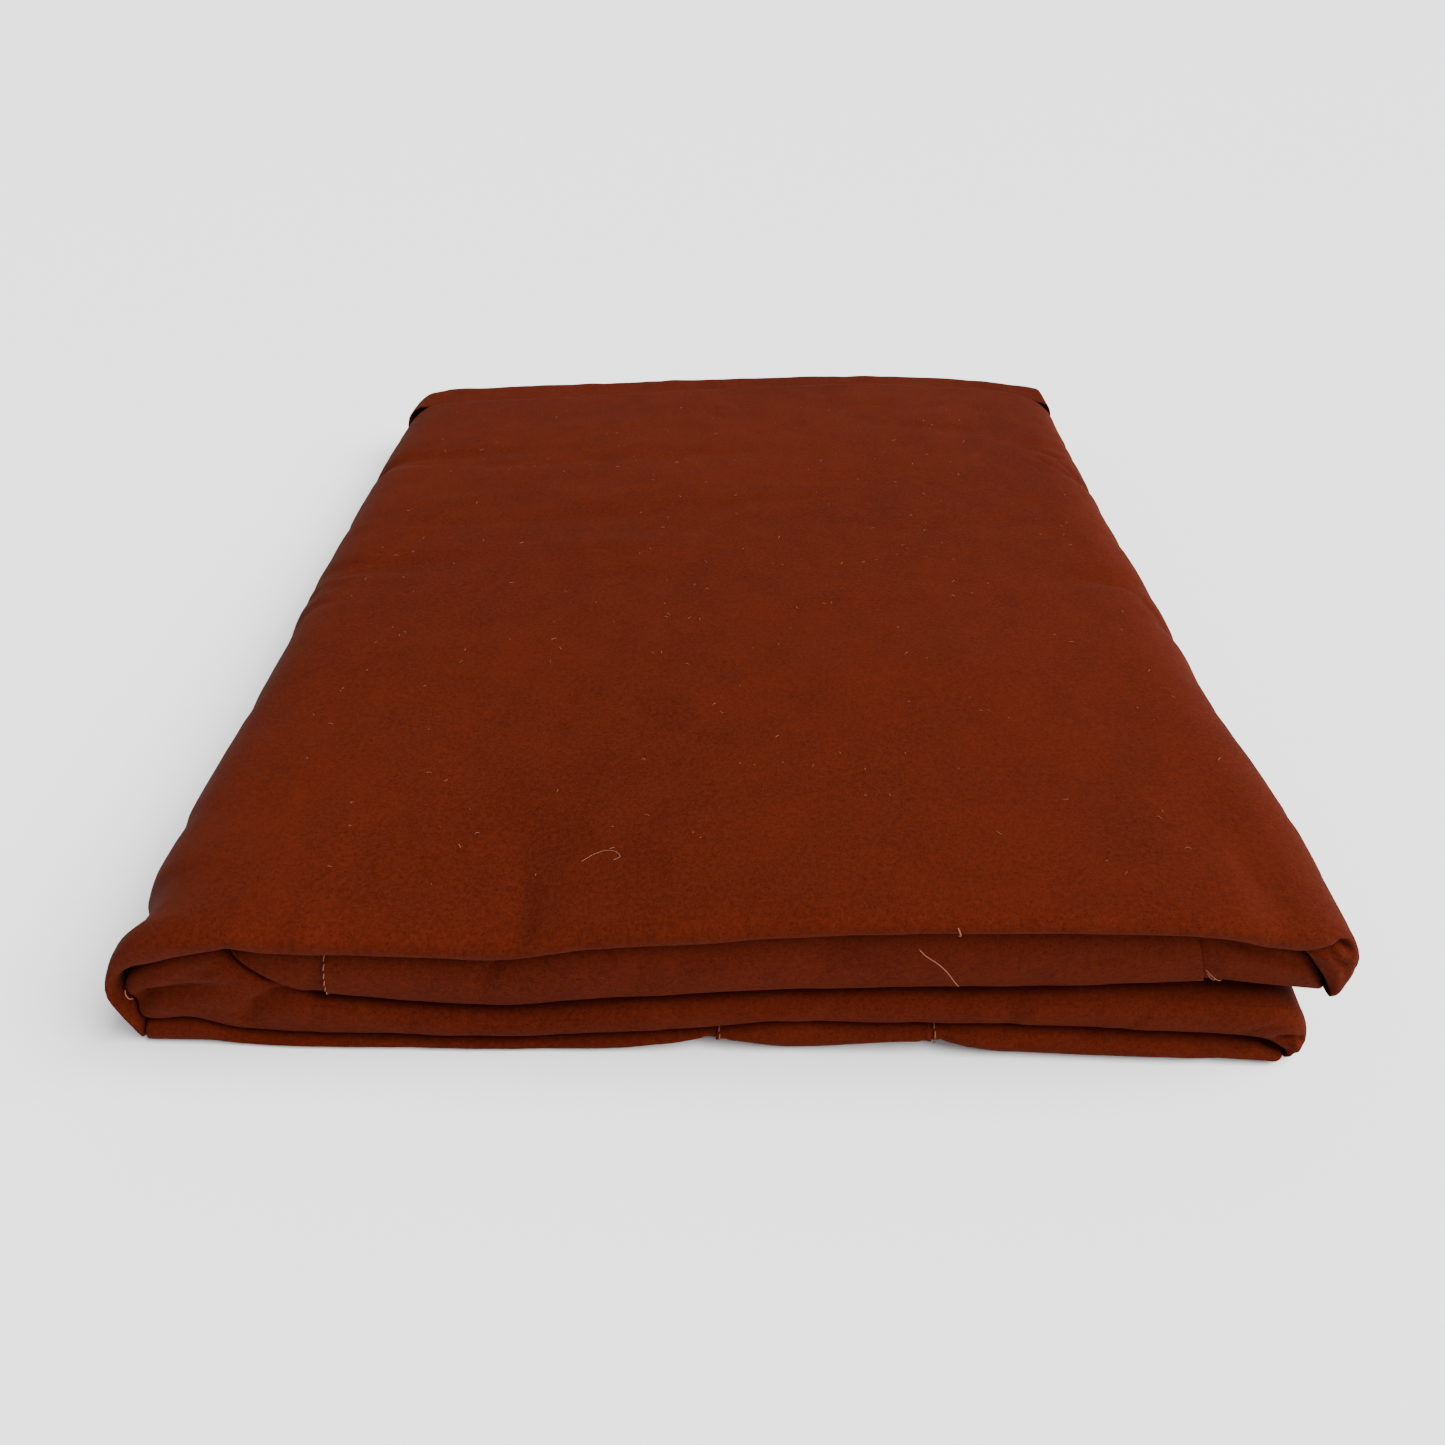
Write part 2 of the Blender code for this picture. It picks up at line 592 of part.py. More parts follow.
def third_fold():
    """The lower pack's upper fold, from the spine to the lower right turn."""
    left_steps = np.linspace(0, 1, 12)[:-1]
    top_steps = np.linspace(0, 1, 26)
    turn_steps = np.linspace(0, 1, 11)[1:]
    body = lower_grid(np.linspace(LOWER_TURN_BACK, LIP_START, 14), left_steps, top_steps, turn_steps)
    outer = body[-1]
    inner_x = np.concatenate([
        roll(THIRD_FOLD_LEFT, "low_x", left_steps) * MM,
        np.linspace(THIRD_FOLD_LEFT[-1].low_x, LOWER_TURN_LIP[0].x, len(top_steps)) * MM,
        roll(LOWER_TURN_LIP, "x", turn_steps) * MM,
    ])
    inner_z = from_table(FRONT_LINES, "x", "third", inner_x) + FOLD_GAP / 2
    inner_z[-len(turn_steps):] = roll(LOWER_TURN_LIP, "z", turn_steps) * MM
    front = from_table(FRONT_REACH, "x", "third", outer[:, 0])
    front[:len(left_steps)] = roll(THIRD_FOLD_LEFT, "reach", left_steps) * MM
    front[-len(turn_steps):] = roll(LOWER_TURN_LIP, "reach", turn_steps) * MM
    turns = np.linspace(0, 180, 9)[1:]
    lip = lip_rows((outer[:, 0], outer[:, 2]), (inner_x, inner_z), front, LIP_START, turns)
    fade = np.sin(np.radians(turns))[:, None]
    lip[..., 1] += crease_depth(lip[..., 0], lip[..., 2], LEFT_CREASES) * fade
    grid = np.concatenate([body, lip])
    keep = np.ones((grid.shape[0] - 1, grid.shape[1] - 1), bool)
    keep[:len(body) - 1, :len(left_steps) + len(top_steps)] = False
    cloth_wall("third_fold", grid[::-1], keep[::-1])


def bottom_fold_grid(low_x, high_x, count):
    """The lowest fold between two rows of stations."""
    low_z = from_table(FRONT_LINES, "x", "bottom", low_x)
    high_z = from_table(FRONT_LINES, "x", "third", high_x) - FOLD_GAP
    reach = from_table(FRONT_REACH, "x", "bottom", (low_x + high_x) / 2)
    reach += end_setback(low_x, BOTTOM_FOLD_ENDS[1].low * MM, END_DROP)
    return fold_band((low_x, low_z), (high_x, high_z), reach, GROOVE_BACK, count)


def bottom_fold():
    """The lowest fold on the front, with a narrow strip between two seams."""
    names = ("bottom_fold_left", "bottom_fold_strip", "bottom_fold_right")
    pieces = across_fold(BOTTOM_FOLD_ENDS, BOTTOM_FOLD_SEAMS, (17, 9, 12))
    for name, (low_x, high_x) in zip(names, pieces):
        cloth_wall(name, bottom_fold_grid(low_x, high_x, 8))


def back_layer_grid(left_steps, top_steps, end_steps, shares, turns):
    """The layer behind the top panel, rounded at its left end and square at its right one."""
    heights = np.concatenate([
        roll(BACK_LEFT_PROFILE, "height", left_steps),
        np.ones(len(top_steps)),
        roll(BACK_END_PROFILE, "height", end_steps),
    ])
    inset = np.concatenate([
        roll(BACK_LEFT_PROFILE, "inset", left_steps),
        np.zeros(len(top_steps)),
        roll(BACK_END_PROFILE, "inset", end_steps),
    ]) * MM
    left_count, end_count = len(left_steps), len(end_steps)
    y0 = CORNER_Y + BACK_NOSE
    start = side("left", y0) + BACK_LEFT_PROFILE[0].inset * MM
    top_x = start + (BACK_END_X - start) * top_steps
    end_x = side("upper_right", y0) - inset[-end_count:]
    at = np.concatenate([side("left", y0) + inset[:left_count], top_x, end_x])
    reach = from_table(BACK_LINES, "x", "layer", at)
    high = back_crown(np.clip(at, start, BACK_END_X)) * heights
    low = np.minimum(back_crown(at) * BACK_LOW_EDGE, high - CLOTH)
    above = (heights - BACK_LOW_EDGE) / (1 - BACK_LOW_EDGE)
    nose = BACK_NOSE * smooth(BACK_NOSE_KEYS, BACK_NOSE_SHARES, above)
    start_y = reach - BACK_COVER
    widening = side("upper_right", y0) - side("upper_right", LIP_START)
    panel_x = np.where(at > BACK_END_X, at - widening, at)
    clear_y = from_table(BACK_LINES, "x", "panel", panel_x) + BACK_CLEAR
    at_end = (at < start) | (at > BACK_END_X)
    start_y[at_end] = np.maximum(start_y, clear_y)[at_end]
    body_y = start_y + (reach - nose - start_y) * shares[:, None]
    turns = np.radians(turns)[:, None]
    nose_y = reach - nose + nose * np.sin(turns) ** NOSE_FULLNESS
    nose_z = high + (low - high) * (1 - np.cos(turns)) / 2
    y = np.concatenate([body_y, nose_y])
    z = np.concatenate([np.broadcast_to(high, body_y.shape), nose_z])
    x = np.repeat(at[None], len(y), axis=0)
    x[:, :left_count] = side("left", y[:, :left_count]) + inset[:left_count]
    x[:, -end_count:] = side("upper_right", y[:, -end_count:]) - inset[-end_count:]
    return np.stack([x, y, z], axis=2)


def back_layer():
    """The layer that stands out behind the top panel, rounded down to the pack's back."""
    left_steps = np.linspace(1, 0, 6)[:-1]
    top_steps = np.linspace(0, 1, 20)
    end_steps = np.linspace(0, 1, 6)[1:]
    shares = np.array([0.0, 0.5])
    turns = np.linspace(0, 180, 7)
    cloth_wall("back_layer", back_layer_grid(left_steps, top_steps, end_steps, shares, turns))


def layer_levels():
    """The levels of the hidden layers: strip, share of its height, how far its nose stands."""
    for strip in range(4):
        for share in (0.0, 0.16, 0.5, 0.84, 1.0):
            yield strip, share, np.sin(np.pi * share) ** NOSE_FULLNESS


def core_front(x):
    """Front of the hidden layers at the stations x: a point for every level."""
    lows = [from_table(FRONT_LINES, "x", name, x) for name in ("bottom", "third", "second", "lip")]
    highs = [lows[1], third_crown(x, LIP_START), lows[3], base_height(x, LIP_START)]
    drops = (CORE_MARGIN, CORE_MARGIN, CORE_MARGIN, CAP_DROP)
    reaches = [from_table(FRONT_REACH, "x", name, x) for name in ("bottom", "third", "second", "lip")]
    points = []
    for strip, share, nose in layer_levels():
        high = highs[strip] - drops[strip]
        low = np.minimum(lows[strip] + CORE_MARGIN, high - STRIP_LEAST)
        room = np.clip((highs[strip] - lows[strip] - THIN_STRIP) / THIN_RAMP, 0, 1)
        tip = reaches[strip] + CORE_MARGIN
        on_floor = strip == 0 and share == 0
        height = np.zeros_like(x) if on_floor else low + (high - low) * share
        groove = GROOVE_BACK + TUCK_DEPTH + (FLOOR_INSET if on_floor else 0.0)
        points.append(np.stack([x, groove + (tip - groove) * nose * room, height], axis=1))
    return np.array(points).transpose(1, 0, 2)


def core_left(y):
    """Left side of the hidden layers at the stations y."""
    left = side("left", y)
    shoulder = base_height(left + SPINE_ROLL, y) - CAP_DROP
    points = []
    for strip, share, _ in layer_levels():
        height = (strip + share) / 4
        inset = np.interp(height, column(SPINE_PROFILE, "height"), column(SPINE_PROFILE, "inset"))
        points.append(np.stack([left + inset * MM + SPINE_MARGIN, y, shoulder * height], axis=1))
    return np.array(points).transpose(1, 0, 2)


def core_right(y):
    """Right side of the hidden layers at the stations y, with the groove between the two turns."""
    under = side("underside", y)
    crown = base_height(side("upper_right", y) - NOSE_ROLL, y)
    groove = side("lower_right", y) - TURN_GROOVE
    points = []
    for strip, share, _ in layer_levels():
        upper = strip >= 2
        height = (strip - (2 if upper else 0) + share) / 2
        if upper:
            low = under + CORE_MARGIN
            edge = side("upper_right", y)
            high = crown - CAP_DROP
        else:
            low = np.zeros_like(y)
            edge = side("lower_right", y)
            high = under - SHELF_STEP - CORE_MARGIN
        nose = np.sin(np.pi * np.clip(height, 0.0 if upper else FLOOR_ROUND, 1.0)) ** NOSE_FULLNESS
        tip = edge - SPINE_MARGIN
        points.append(np.stack([groove + (tip - groove) * nose, y, low + (high - low) * height], axis=1))
    return np.array(points).transpose(1, 0, 2)


def core_back(x):
    """Back of the hidden layers at the stations x: four stepped layer edges."""
    reach = from_table(BACK_LINES, "x", "layer", x)
    crown = back_crown(x)
    points = []
    for strip, share, nose in layer_levels():
        row = BACK_LAYERS[strip]
        tip = reach - row.inset * MM
        groove = tip - BACK_NOSE
        height = row.low + (row.high - row.low) * share
        points.append(np.stack([x, groove + (tip - groove) * nose, crown * height], axis=1))
    return np.array(points).transpose(1, 0, 2)


def core_corner(start, end, centre, fullness, steps):
    """Columns of a rounded corner between two sides' profiles."""
    angle = np.pi / 2 * np.asarray(steps)[:, None]
    fade_in, fade_out = np.sin(angle) ** fullness, np.cos(angle) ** fullness
    x = centre[0] + (start[:, 0] - centre[0]) * fade_out + (end[:, 0] - centre[0]) * fade_in
    y = centre[1] + (start[:, 1] - centre[1]) * fade_out + (end[:, 1] - centre[1]) * fade_in
    z = start[:, 2] * np.cos(angle) ** 2 + end[:, 2] * np.sin(angle) ** 2
    return np.stack([x, y, z], axis=2)


def core_rings(front_count, right_count, back_count, left_count, corner_steps):
    """The hidden layers' rings: a column of levels for every station round the pack."""
    sides = (
        core_front(np.linspace(-CORNER_X, CORNER_X, front_count)),
        core_right(np.linspace(-CORNER_Y, CORNER_Y, right_count)),
        core_back(np.linspace(CORNER_X, -CORNER_X, back_count)),
        core_left(np.linspace(CORNER_Y, -CORNER_Y, left_count)),
    )
    centres = ((CORNER_X, -CORNER_Y), (CORNER_X, CORNER_Y), (-CORNER_X, CORNER_Y), (-CORNER_X, -CORNER_Y))
    columns = []
    for i, centre in enumerate(centres):
        start, end = sides[i][-1], sides[(i + 1) % 4][0]
        columns.append(sides[i])
        columns.append(core_corner(start, end, centre, CORNER_FULLNESS[i], corner_steps))
    rings = np.concatenate(columns)
    front = np.interp(rings[..., 0], *(np.array(FRONT_LIMIT).T * MM))
    back = from_table(BACK_LINES, "x", "layer", rings[..., 0]) - BACK_MARGIN
    rings[..., 1] = np.clip(rings[..., 1], front, back)
    return rings


def cap_height(x, y):
    """Height of the hidden layers below the top panel, lower where the back layer lies on them."""
    back = np.clip((y - BACK_REST) / BACK_REST_RAMP, 0, 1)
    return base_height(x, y) - CAP_DROP - CAP_BACK_DROP * back


def hidden_layers():
    """One rounded solid for the layers that nothing shows, with layered edges."""
    rings = core_rings(26, 13, 16, 13, (0.12, 0.32, 0.6, 0.85))
    bm = bmesh.new()
    verts = [[bm.verts.new(point) for point in ring] for ring in rings]
    count = len(verts)
    for i in range(count):
        j = (i + 1) % count
        for k in range(rings.shape[1] - 1):
            bm.faces.new((verts[i][k], verts[j][k], verts[j][k + 1], verts[i][k + 1]))
    close_cap(bm, [ring[0] for ring in verts], (0.5,), on_floor=True)
    close_cap(bm, [ring[-1] for ring in verts], (0.96, 0.9, 0.82, 0.7, 0.5, 0.25), on_floor=False)
    add_object("hidden_layers", bm, INNER_COLOR)


def close_cap(bm, edge, scales, on_floor):
    """Close a ring with narrowing rings, flat on the floor or just below the top panel."""
    outline = np.array([vert.co[:] for vert in edge])
    previous = edge
    for scale in scales:
        points = outline * np.array([scale, scale, 0.0])
        if not on_floor:
            points[:, 2] = cap_height(points[:, 0], points[:, 1])
        ring = [bm.verts.new(point) for point in points]
        for i in range(len(ring)):
            j = (i + 1) % len(ring)
            bm.faces.new((previous[i], previous[j], ring[j], ring[i]))
        previous = ring
    centre_z = 0.0 if on_floor else cap_height(0.0, 0.0)
    centre = bm.verts.new((0.0, 0.0, centre_z))
    for i in range(len(previous)):
        bm.faces.new((previous[i], previous[(i + 1) % len(previous)], centre))


def main():
    for obj in list(bpy.data.objects):
        bpy.data.objects.remove(obj)
    hidden_layers()
    top_panel()
    second_fold()
    third_fold()
    bottom_fold()
    back_layer()


main()
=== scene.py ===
"""Dresses the folded monk's robe in brushed cotton, with its seams, stitches, threads and lint.

Every sheet is worked out from the same named sizes as its solid in the frame: a grid of points
that runs along the fold and round its nose. Lengths in the tables are millimetres.
"""

import math
from collections import namedtuple

import bpy
import numpy as np
from bpy.props import FloatProperty, FloatVectorProperty, IntProperty, PointerProperty
from mathutils import Euler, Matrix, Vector


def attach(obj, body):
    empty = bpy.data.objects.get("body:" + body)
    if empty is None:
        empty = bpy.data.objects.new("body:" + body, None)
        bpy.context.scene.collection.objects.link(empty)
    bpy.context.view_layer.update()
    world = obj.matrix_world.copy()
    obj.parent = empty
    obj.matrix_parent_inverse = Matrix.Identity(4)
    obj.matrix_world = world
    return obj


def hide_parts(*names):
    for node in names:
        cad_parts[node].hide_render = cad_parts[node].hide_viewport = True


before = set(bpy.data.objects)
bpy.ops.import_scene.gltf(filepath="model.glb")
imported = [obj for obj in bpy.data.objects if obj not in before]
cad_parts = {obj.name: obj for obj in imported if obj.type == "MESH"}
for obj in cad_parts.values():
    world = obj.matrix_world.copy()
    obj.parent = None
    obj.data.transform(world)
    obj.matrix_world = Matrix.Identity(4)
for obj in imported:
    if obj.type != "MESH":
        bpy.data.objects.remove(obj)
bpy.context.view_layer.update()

bl_info = {
    "name": "Folded Monk's Robe",
    "version": (1, 0, 0),
    "blender": (4, 5, 0),
    "location": "View3D > Sidebar > Robe",
    "description": "Builds a folded cotton patchwork robe round its packed solids",
    "category": "Object",
}

# Sizes shared with the solids
MM = 0.001
CLOTH = 1.5 * MM
SEAM_GAP = 0.5 * MM
FOLD_GAP = 0.7 * MM
LIP_START = -239 * MM
TUCK_DEPTH = 5 * MM
TURN_GROOVE = 33 * MM
LOWER_TURN_BACK = 222 * MM
BACK_COVER = 34 * MM
BACK_NOSE = 8 * MM
BACK_STEP = 1.9 * MM
BACK_LOW_EDGE = 0.51
BACK_END_X = 175 * MM
GROOVE_BACK = -236.5 * MM
CORE_MARGIN = 2.3 * MM
CAP_DROP = 4.5 * MM
CAP_BACK_DROP = 3.2 * MM
SPINE_MARGIN = 4.8 * MM
STRIP_LEAST = 1.0 * MM
FLOOR_INSET = 12 * MM
SHELF_STEP = 1.6 * MM
SPINE_ROLL = 45 * MM
NOSE_ROLL = 34 * MM
LOWER_ROLL = 30 * MM
NOSE_FULLNESS = 0.55
CORNER_X = 160 * MM
CORNER_Y = 205 * MM
CORNER_FULLNESS = (0.4, 0.6, 0.7, 0.4)
FRONT_BLEND = 60 * MM
SHELF_BLEND_X = 110 * MM
SHELF_RISE = 4 * MM
SHELF_REACH = 34 * MM
LAP_DEPTH = 1.3 * MM
LAP_UNDER = 3.0 * MM
LAP_FADE = 16 * MM
LAP_STEPS = np.array([1.0, 0.66, 0.33])
LEFT_REACH = 1 * MM
# How far the painted sheen's band is moved out along the lower right turn
TURN_SHEEN_SHIFT = 7 * MM
CREASE_START = 160 * MM
CREASE_RAMP = 26 * MM
BACK_CLEAR = 3.0 * MM
BACK_MARGIN = 3.7 * MM
BACK_NOSE_KEYS = (0.0, 0.25, 0.5, 0.75, 1.0)
BACK_NOSE_SHARES = (0.2, 0.2, 0.3, 0.8, 1.0)
BACK_REST = 174 * MM
BACK_REST_RAMP = 12 * MM
FLOOR_ROUND = 0.08
THIN_STRIP = 6 * MM
THIN_RAMP = 3 * MM
SECOND_DROP = 7 * MM
BOTTOM_DROP = 3 * MM
TAIL_LENGTH = 3 * MM
TAIL_REACH = 15 * MM
TAIL_START = 165 * MM
TAIL_RAMP = 8 * MM
TAIL_SPREAD = 2.2 * MM
END_TURN = 4.5 * MM

# The middle of the pack's outline, which is moved onto the origin
OUTLINE_MIDDLE = np.array((-3.5, 2.2, 0.0)) * MM

# Height of each fold line along the front
FrontRow = namedtuple("FrontRow", "x top lip second third bottom")
FRONT_LINES = (
    FrontRow(-196, 46.0, 36.0, 22.0, 9.0, 0.0),
    FrontRow(-177, 52.0, 39.5, 22.0, 10.4, 0.0),
    FrontRow(-159, 56.0, 47.8, 22.4, 5.2, 0.0),
    FrontRow(-140, 55.0, 45.0, 22.4, 4.4, 0.0),
    FrontRow(-102, 53.5, 44.3, 18.5, 4.8, 0.0),
    FrontRow(-76, 52.5, 42.7, 16.9, 4.8, 0.0),
    FrontRow(-41, 57.0, 48.2, 20.3, 6.6, 0.0),
    FrontRow(-6, 60.5, 51.2, 23.0, 9.2, 5.2),
    FrontRow(20, 62.5, 54.1, 24.9, 12.3, 0.0),
    FrontRow(62, 64.5, 56.4, 26.3, 12.0, 5.2),
    FrontRow(90, 65.0, 57.0, 26.6, 12.0, 0.0),
    FrontRow(135, 64.5, 56.4, 28.8, 9.8, 0.0),
    FrontRow(152, 63.0, 53.8, 30.0, 9.4, 0.0),
    FrontRow(167, 60.5, 49.0, 28.8, 7.8, 0.0),
    FrontRow(178, 60.3, 47.0, 27.2, 4.0, 0.0),
    FrontRow(196, 60.0, 45.0, 24.6, 1.0, 0.0),
)

# Front reach of each fold along the pack
ReachRow = namedtuple("ReachRow", "x lip second third bottom")
FRONT_REACH = (
    ReachRow(-196, -245.5, -243.0, -243.0, -243.5),
    ReachRow(-140, -248.5, -245.0, -245.0, -245.5),
    ReachRow(-76, -248.5, -245.5, -246.5, -246.5),
    ReachRow(0, -249.0, -245.5, -246.0, -246.5),
    ReachRow(90, -250.0, -246.0, -247.0, -248.5),
    ReachRow(150, -250.5, -246.0, -249.0, -250.5),
    ReachRow(196, -249.0, -245.0, -250.0, -251.0),
)

# Height of the top panel at five stations across
TOP_STATIONS = (-185, -92, 0, 92, 185)
TopRow = namedtuple("TopRow", "y far_left left middle right far_right")
TOP_HEIGHTS = (
    TopRow(-236, 52.0, 53.0, 61.0, 65.0, 60.0),
    TopRow(-190, 52.0, 54.5, 60.5, 64.0, 61.5),
    TopRow(-100, 51.0, 54.5, 58.5, 61.0, 59.0),
    TopRow(0, 48.5, 52.5, 55.5, 57.0, 55.0),
    TopRow(110, 46.5, 50.0, 52.0, 53.0, 51.0),
    TopRow(250, 42.5, 45.0, 46.5, 47.5, 45.5),
)

# The pack's side lines: x at the left and at both right turns, and z under the upper one
SideRow = namedtuple("SideRow", "y left upper_right lower_right underside")
SIDE_LINES = (
    SideRow(-250, -202.4, 188.0, 184.0, 25.6),
    SideRow(-240, -199.6, 192.4, 185.4, 26.8),
    SideRow(-232, -195.6, 192.7, 185.5, 28.2),
    SideRow(-224, -194.8, 192.7, 185.8, 29.2),
    SideRow(-217, -195.8, 192.7, 186.0, 29.5),
    SideRow(-208, -199.6, 192.7, 186.2, 29.7),
    SideRow(-198, -200.4, 192.5, 186.3, 29.9),
    SideRow(-188, -200.4, 192.3, 186.4, 30.0),
    SideRow(-168, -201.2, 191.3, 186.2, 29.9),
    SideRow(-115, -200.1, 188.2, 185.5, 29.4),
    SideRow(-60, -199.8, 189.6, 185.0, 28.5),
    SideRow(-20, -202.6, 190.6, 185.5, 28.0),
    SideRow(30, -202.6, 190.0, 185.5, 27.0),
    SideRow(110, -202.8, 191.7, 186.5, 26.0),
    SideRow(170, -202.6, 193.6, 187.5, 25.0),
    SideRow(205, -201.6, 194.7, 188.0, 24.5),
    SideRow(250, -199.0, 194.7, 187.5, 24.0),
)

# Back edges seen from above
BackRow = namedtuple("BackRow", "x panel layer")
BACK_LINES = (
    BackRow(-203, 203, 224),
    BackRow(-196, 205, 231),
    BackRow(-188, 206, 237),
    BackRow(-176, 206, 241),
    BackRow(-148, 207, 243),
    BackRow(-80, 212, 246),
    BackRow(-8, 220, 251),
    BackRow(80, 227, 255),
    BackRow(150, 221, 250),
    BackRow(176, 212, 243),
    BackRow(190, 203, 238),
    BackRow(196, 198, 233),
)

# How the left spine, the upper turn and the lower turn roll round, in shares of their height
RollRow = namedtuple("RollRow", "step inset height")
SPINE_PROFILE = (
    RollRow(0.00, 3.2, 0.02),
    RollRow(0.12, 3.0, 0.12),
    RollRow(0.26, 1.7, 0.28),
    RollRow(0.40, 0.0, 0.47),
    RollRow(0.54, 3.6, 0.66),
    RollRow(0.67, 9.8, 0.82),
    RollRow(0.79, 18.0, 0.93),
    RollRow(0.90, 31.0, 0.985),
    RollRow(1.00, 45.0, 1.00),
)
UPPER_TURN_PROFILE = (
    RollRow(0.00, 34.0, 1.00),
    RollRow(0.12, 22.0, 0.975),
    RollRow(0.28, 11.0, 0.88),
    RollRow(0.44, 3.6, 0.70),
    RollRow(0.58, 0.0, 0.46),
    RollRow(0.70, 0.5, 0.27),
    RollRow(0.82, 2.0, 0.10),
    RollRow(0.91, 3.4, 0.03),
    RollRow(1.00, 5.4, 0.00),
)
LOWER_TURN_PROFILE = (
    RollRow(0.00, 30.0, 1.00),
    RollRow(0.16, 16.0, 0.965),
    RollRow(0.34, 6.5, 0.82),
    RollRow(0.52, 1.2, 0.56),
    RollRow(0.66, 0.0, 0.36),
    RollRow(0.80, 1.2, 0.15),
    RollRow(0.90, 3.2, 0.06),
    RollRow(1.00, 6.5, 0.02),
)
BACK_END_PROFILE = (
    RollRow(0.00, 12.0, 1.00),
    RollRow(0.30, 3.5, 0.99),
    RollRow(0.50, 1.4, 0.94),
    RollRow(0.70, 0.3, 0.84),
    RollRow(1.00, 1.6, 0.58),
)
BACK_LEFT_PROFILE = (
    RollRow(0.00, 22.0, 1.00),
    RollRow(0.30, 12.0, 0.99),
    RollRow(0.50, 7.0, 0.94),
    RollRow(0.70, 2.8, 0.83),
    RollRow(1.00, 0.4, 0.56),
)

# Inner edge of the lip where it runs down the spine and round the turns
InnerRow = namedtuple("InnerRow", "step x z reach")
SPINE_LIP = (
    InnerRow(0.00, -193.2, 2.6, -242.0),
    InnerRow(0.12, -193.2, 8.5, -244.0),
    InnerRow(0.26, -194.6, 15.0, -245.0),
    InnerRow(0.40, -196.2, 24.0, -245.8),
    InnerRow(0.54, -194.2, 30.6, -245.6),
    InnerRow(0.67, -188.4, 36.4, -246.4),
    InnerRow(0.79, -178.5, 40.0, -247.6),
    InnerRow(0.90, -166.0, 44.5, -248.5),
    InnerRow(1.00, -154.5, 47.6, -248.5),
)
UPPER_TURN_LIP = (
    InnerRow(0.00, 161.0, 51.6, -250.2),
    InnerRow(0.12, 167.0, 49.8, -250.0),
    InnerRow(0.28, 171.6, 48.8, -249.5),
    InnerRow(0.44, 175.2, 45.8, -249.0),
    InnerRow(0.58, 178.2, 42.0, -248.5),
    InnerRow(0.70, 181.2, 38.0, -248.0),
    InnerRow(0.82, 184.4, 34.0, -247.5),
    InnerRow(1.00, 186.0, 31.4, -246.5),
)
LOWER_TURN_LIP = (
    InnerRow(0.00, 154.0, 10.0, -249.2),
    InnerRow(0.16, 160.0, 9.6, -249.4),
    InnerRow(0.34, 166.0, 9.2, -249.6),
    InnerRow(0.52, 171.5, 8.0, -249.8),
    InnerRow(0.66, 175.2, 6.2, -249.8),
    InnerRow(0.80, 178.4, 4.2, -249.4),
    InnerRow(1.00, 179.8, 2.4, -248.0),
)

# The third fold's left end, from the spine to the tuck: upper edge, lower x and reach
LeftRow = namedtuple("LeftRow", "step x z low_x reach")
THIRD_FOLD_LEFT = (
    LeftRow(0.00, -193.6, 19.0, -192.0, -240.8),
    LeftRow(0.08, -194.4, 25.2, -191.6, -242.4),
    LeftRow(0.18, -190.4, 31.6, -188.4, -243.8),
    LeftRow(0.30, -181.6, 36.7, -181.0, -244.8),
    LeftRow(0.44, -170.6, 41.3, -171.0, -245.0),
    LeftRow(0.56, -161.6, 43.8, -163.0, -245.0),
    LeftRow(0.68, -156.6, 38.0, -156.5, -244.8),
    LeftRow(0.80, -149.4, 31.0, -149.0, -244.8),
    LeftRow(0.90, -142.0, 25.6, -142.5, -244.9),
    LeftRow(1.00, -133.5, 20.2, -134.5, -245.0),
)

# Creases pressed into the third fold's left end: x, z and depth of each point
CreaseLine = namedtuple("CreaseLine", "half_width points")
LEFT_CREASES = (
    CreaseLine(3.4, ((-191.5, 18.5, 3.0), (-187.0, 22.5, 4.0), (-175.0, 26.0, 3.4), (-163.5, 28.5, 1.6),
                     (-152.0, 29.5, 0.0))),
    CreaseLine(3.6, ((-158.0, 9.0, 0.0), (-156.5, 15.5, 1.6), (-153.0, 20.0, 2.6), (-146.5, 24.0, 3.6),
                     (-138.0, 25.6, 3.4))),
)

# Soft ripples of the top panel: middle, half lengths, turn in degrees and height
RippleRow = namedtuple("RippleRow", "x y half_length half_width turn height")
RIPPLES = (
    RippleRow(-160, 119, 52, 7, 4, -1.6),
    RippleRow(-60, 110, 70, 9, 4, -0.8),
    RippleRow(-180, -8, 46, 7, 2, -2.0),
    RippleRow(-186, -36, 22, 6, 16, -1.8),
    RippleRow(-60, 38, 80, 10, 7, -1.0),
    RippleRow(-20, 24, 44, 12, 3, -1.0),
    RippleRow(-45, -30, 36, 11, 0, -0.9),
    RippleRow(-50, 6, 30, 10, 0, 1.0),
    RippleRow(180, 112, 26, 6, -42, -2.2),
    RippleRow(178, -46, 24, 7, -44, -2.4),
    RippleRow(153, -30, 20, 10, -10, -1.4),
    RippleRow(172, -226, 9, 15, 10, -3.0),
    RippleRow(-66, -228, 6, 22, 8, -1.0),
    RippleRow(60, -110, 110, 24, 5, 0.8),
    RippleRow(-120, -130, 90, 22, -6, -0.8),
)

# Upper edge of the second fold's left end, where it is tucked in
TuckRow = namedtuple("TuckRow", "x z")
TUCK_LINE = (TuckRow(-158, 42.0), TuckRow(-150, 43.8), TuckRow(-140, 60.0))

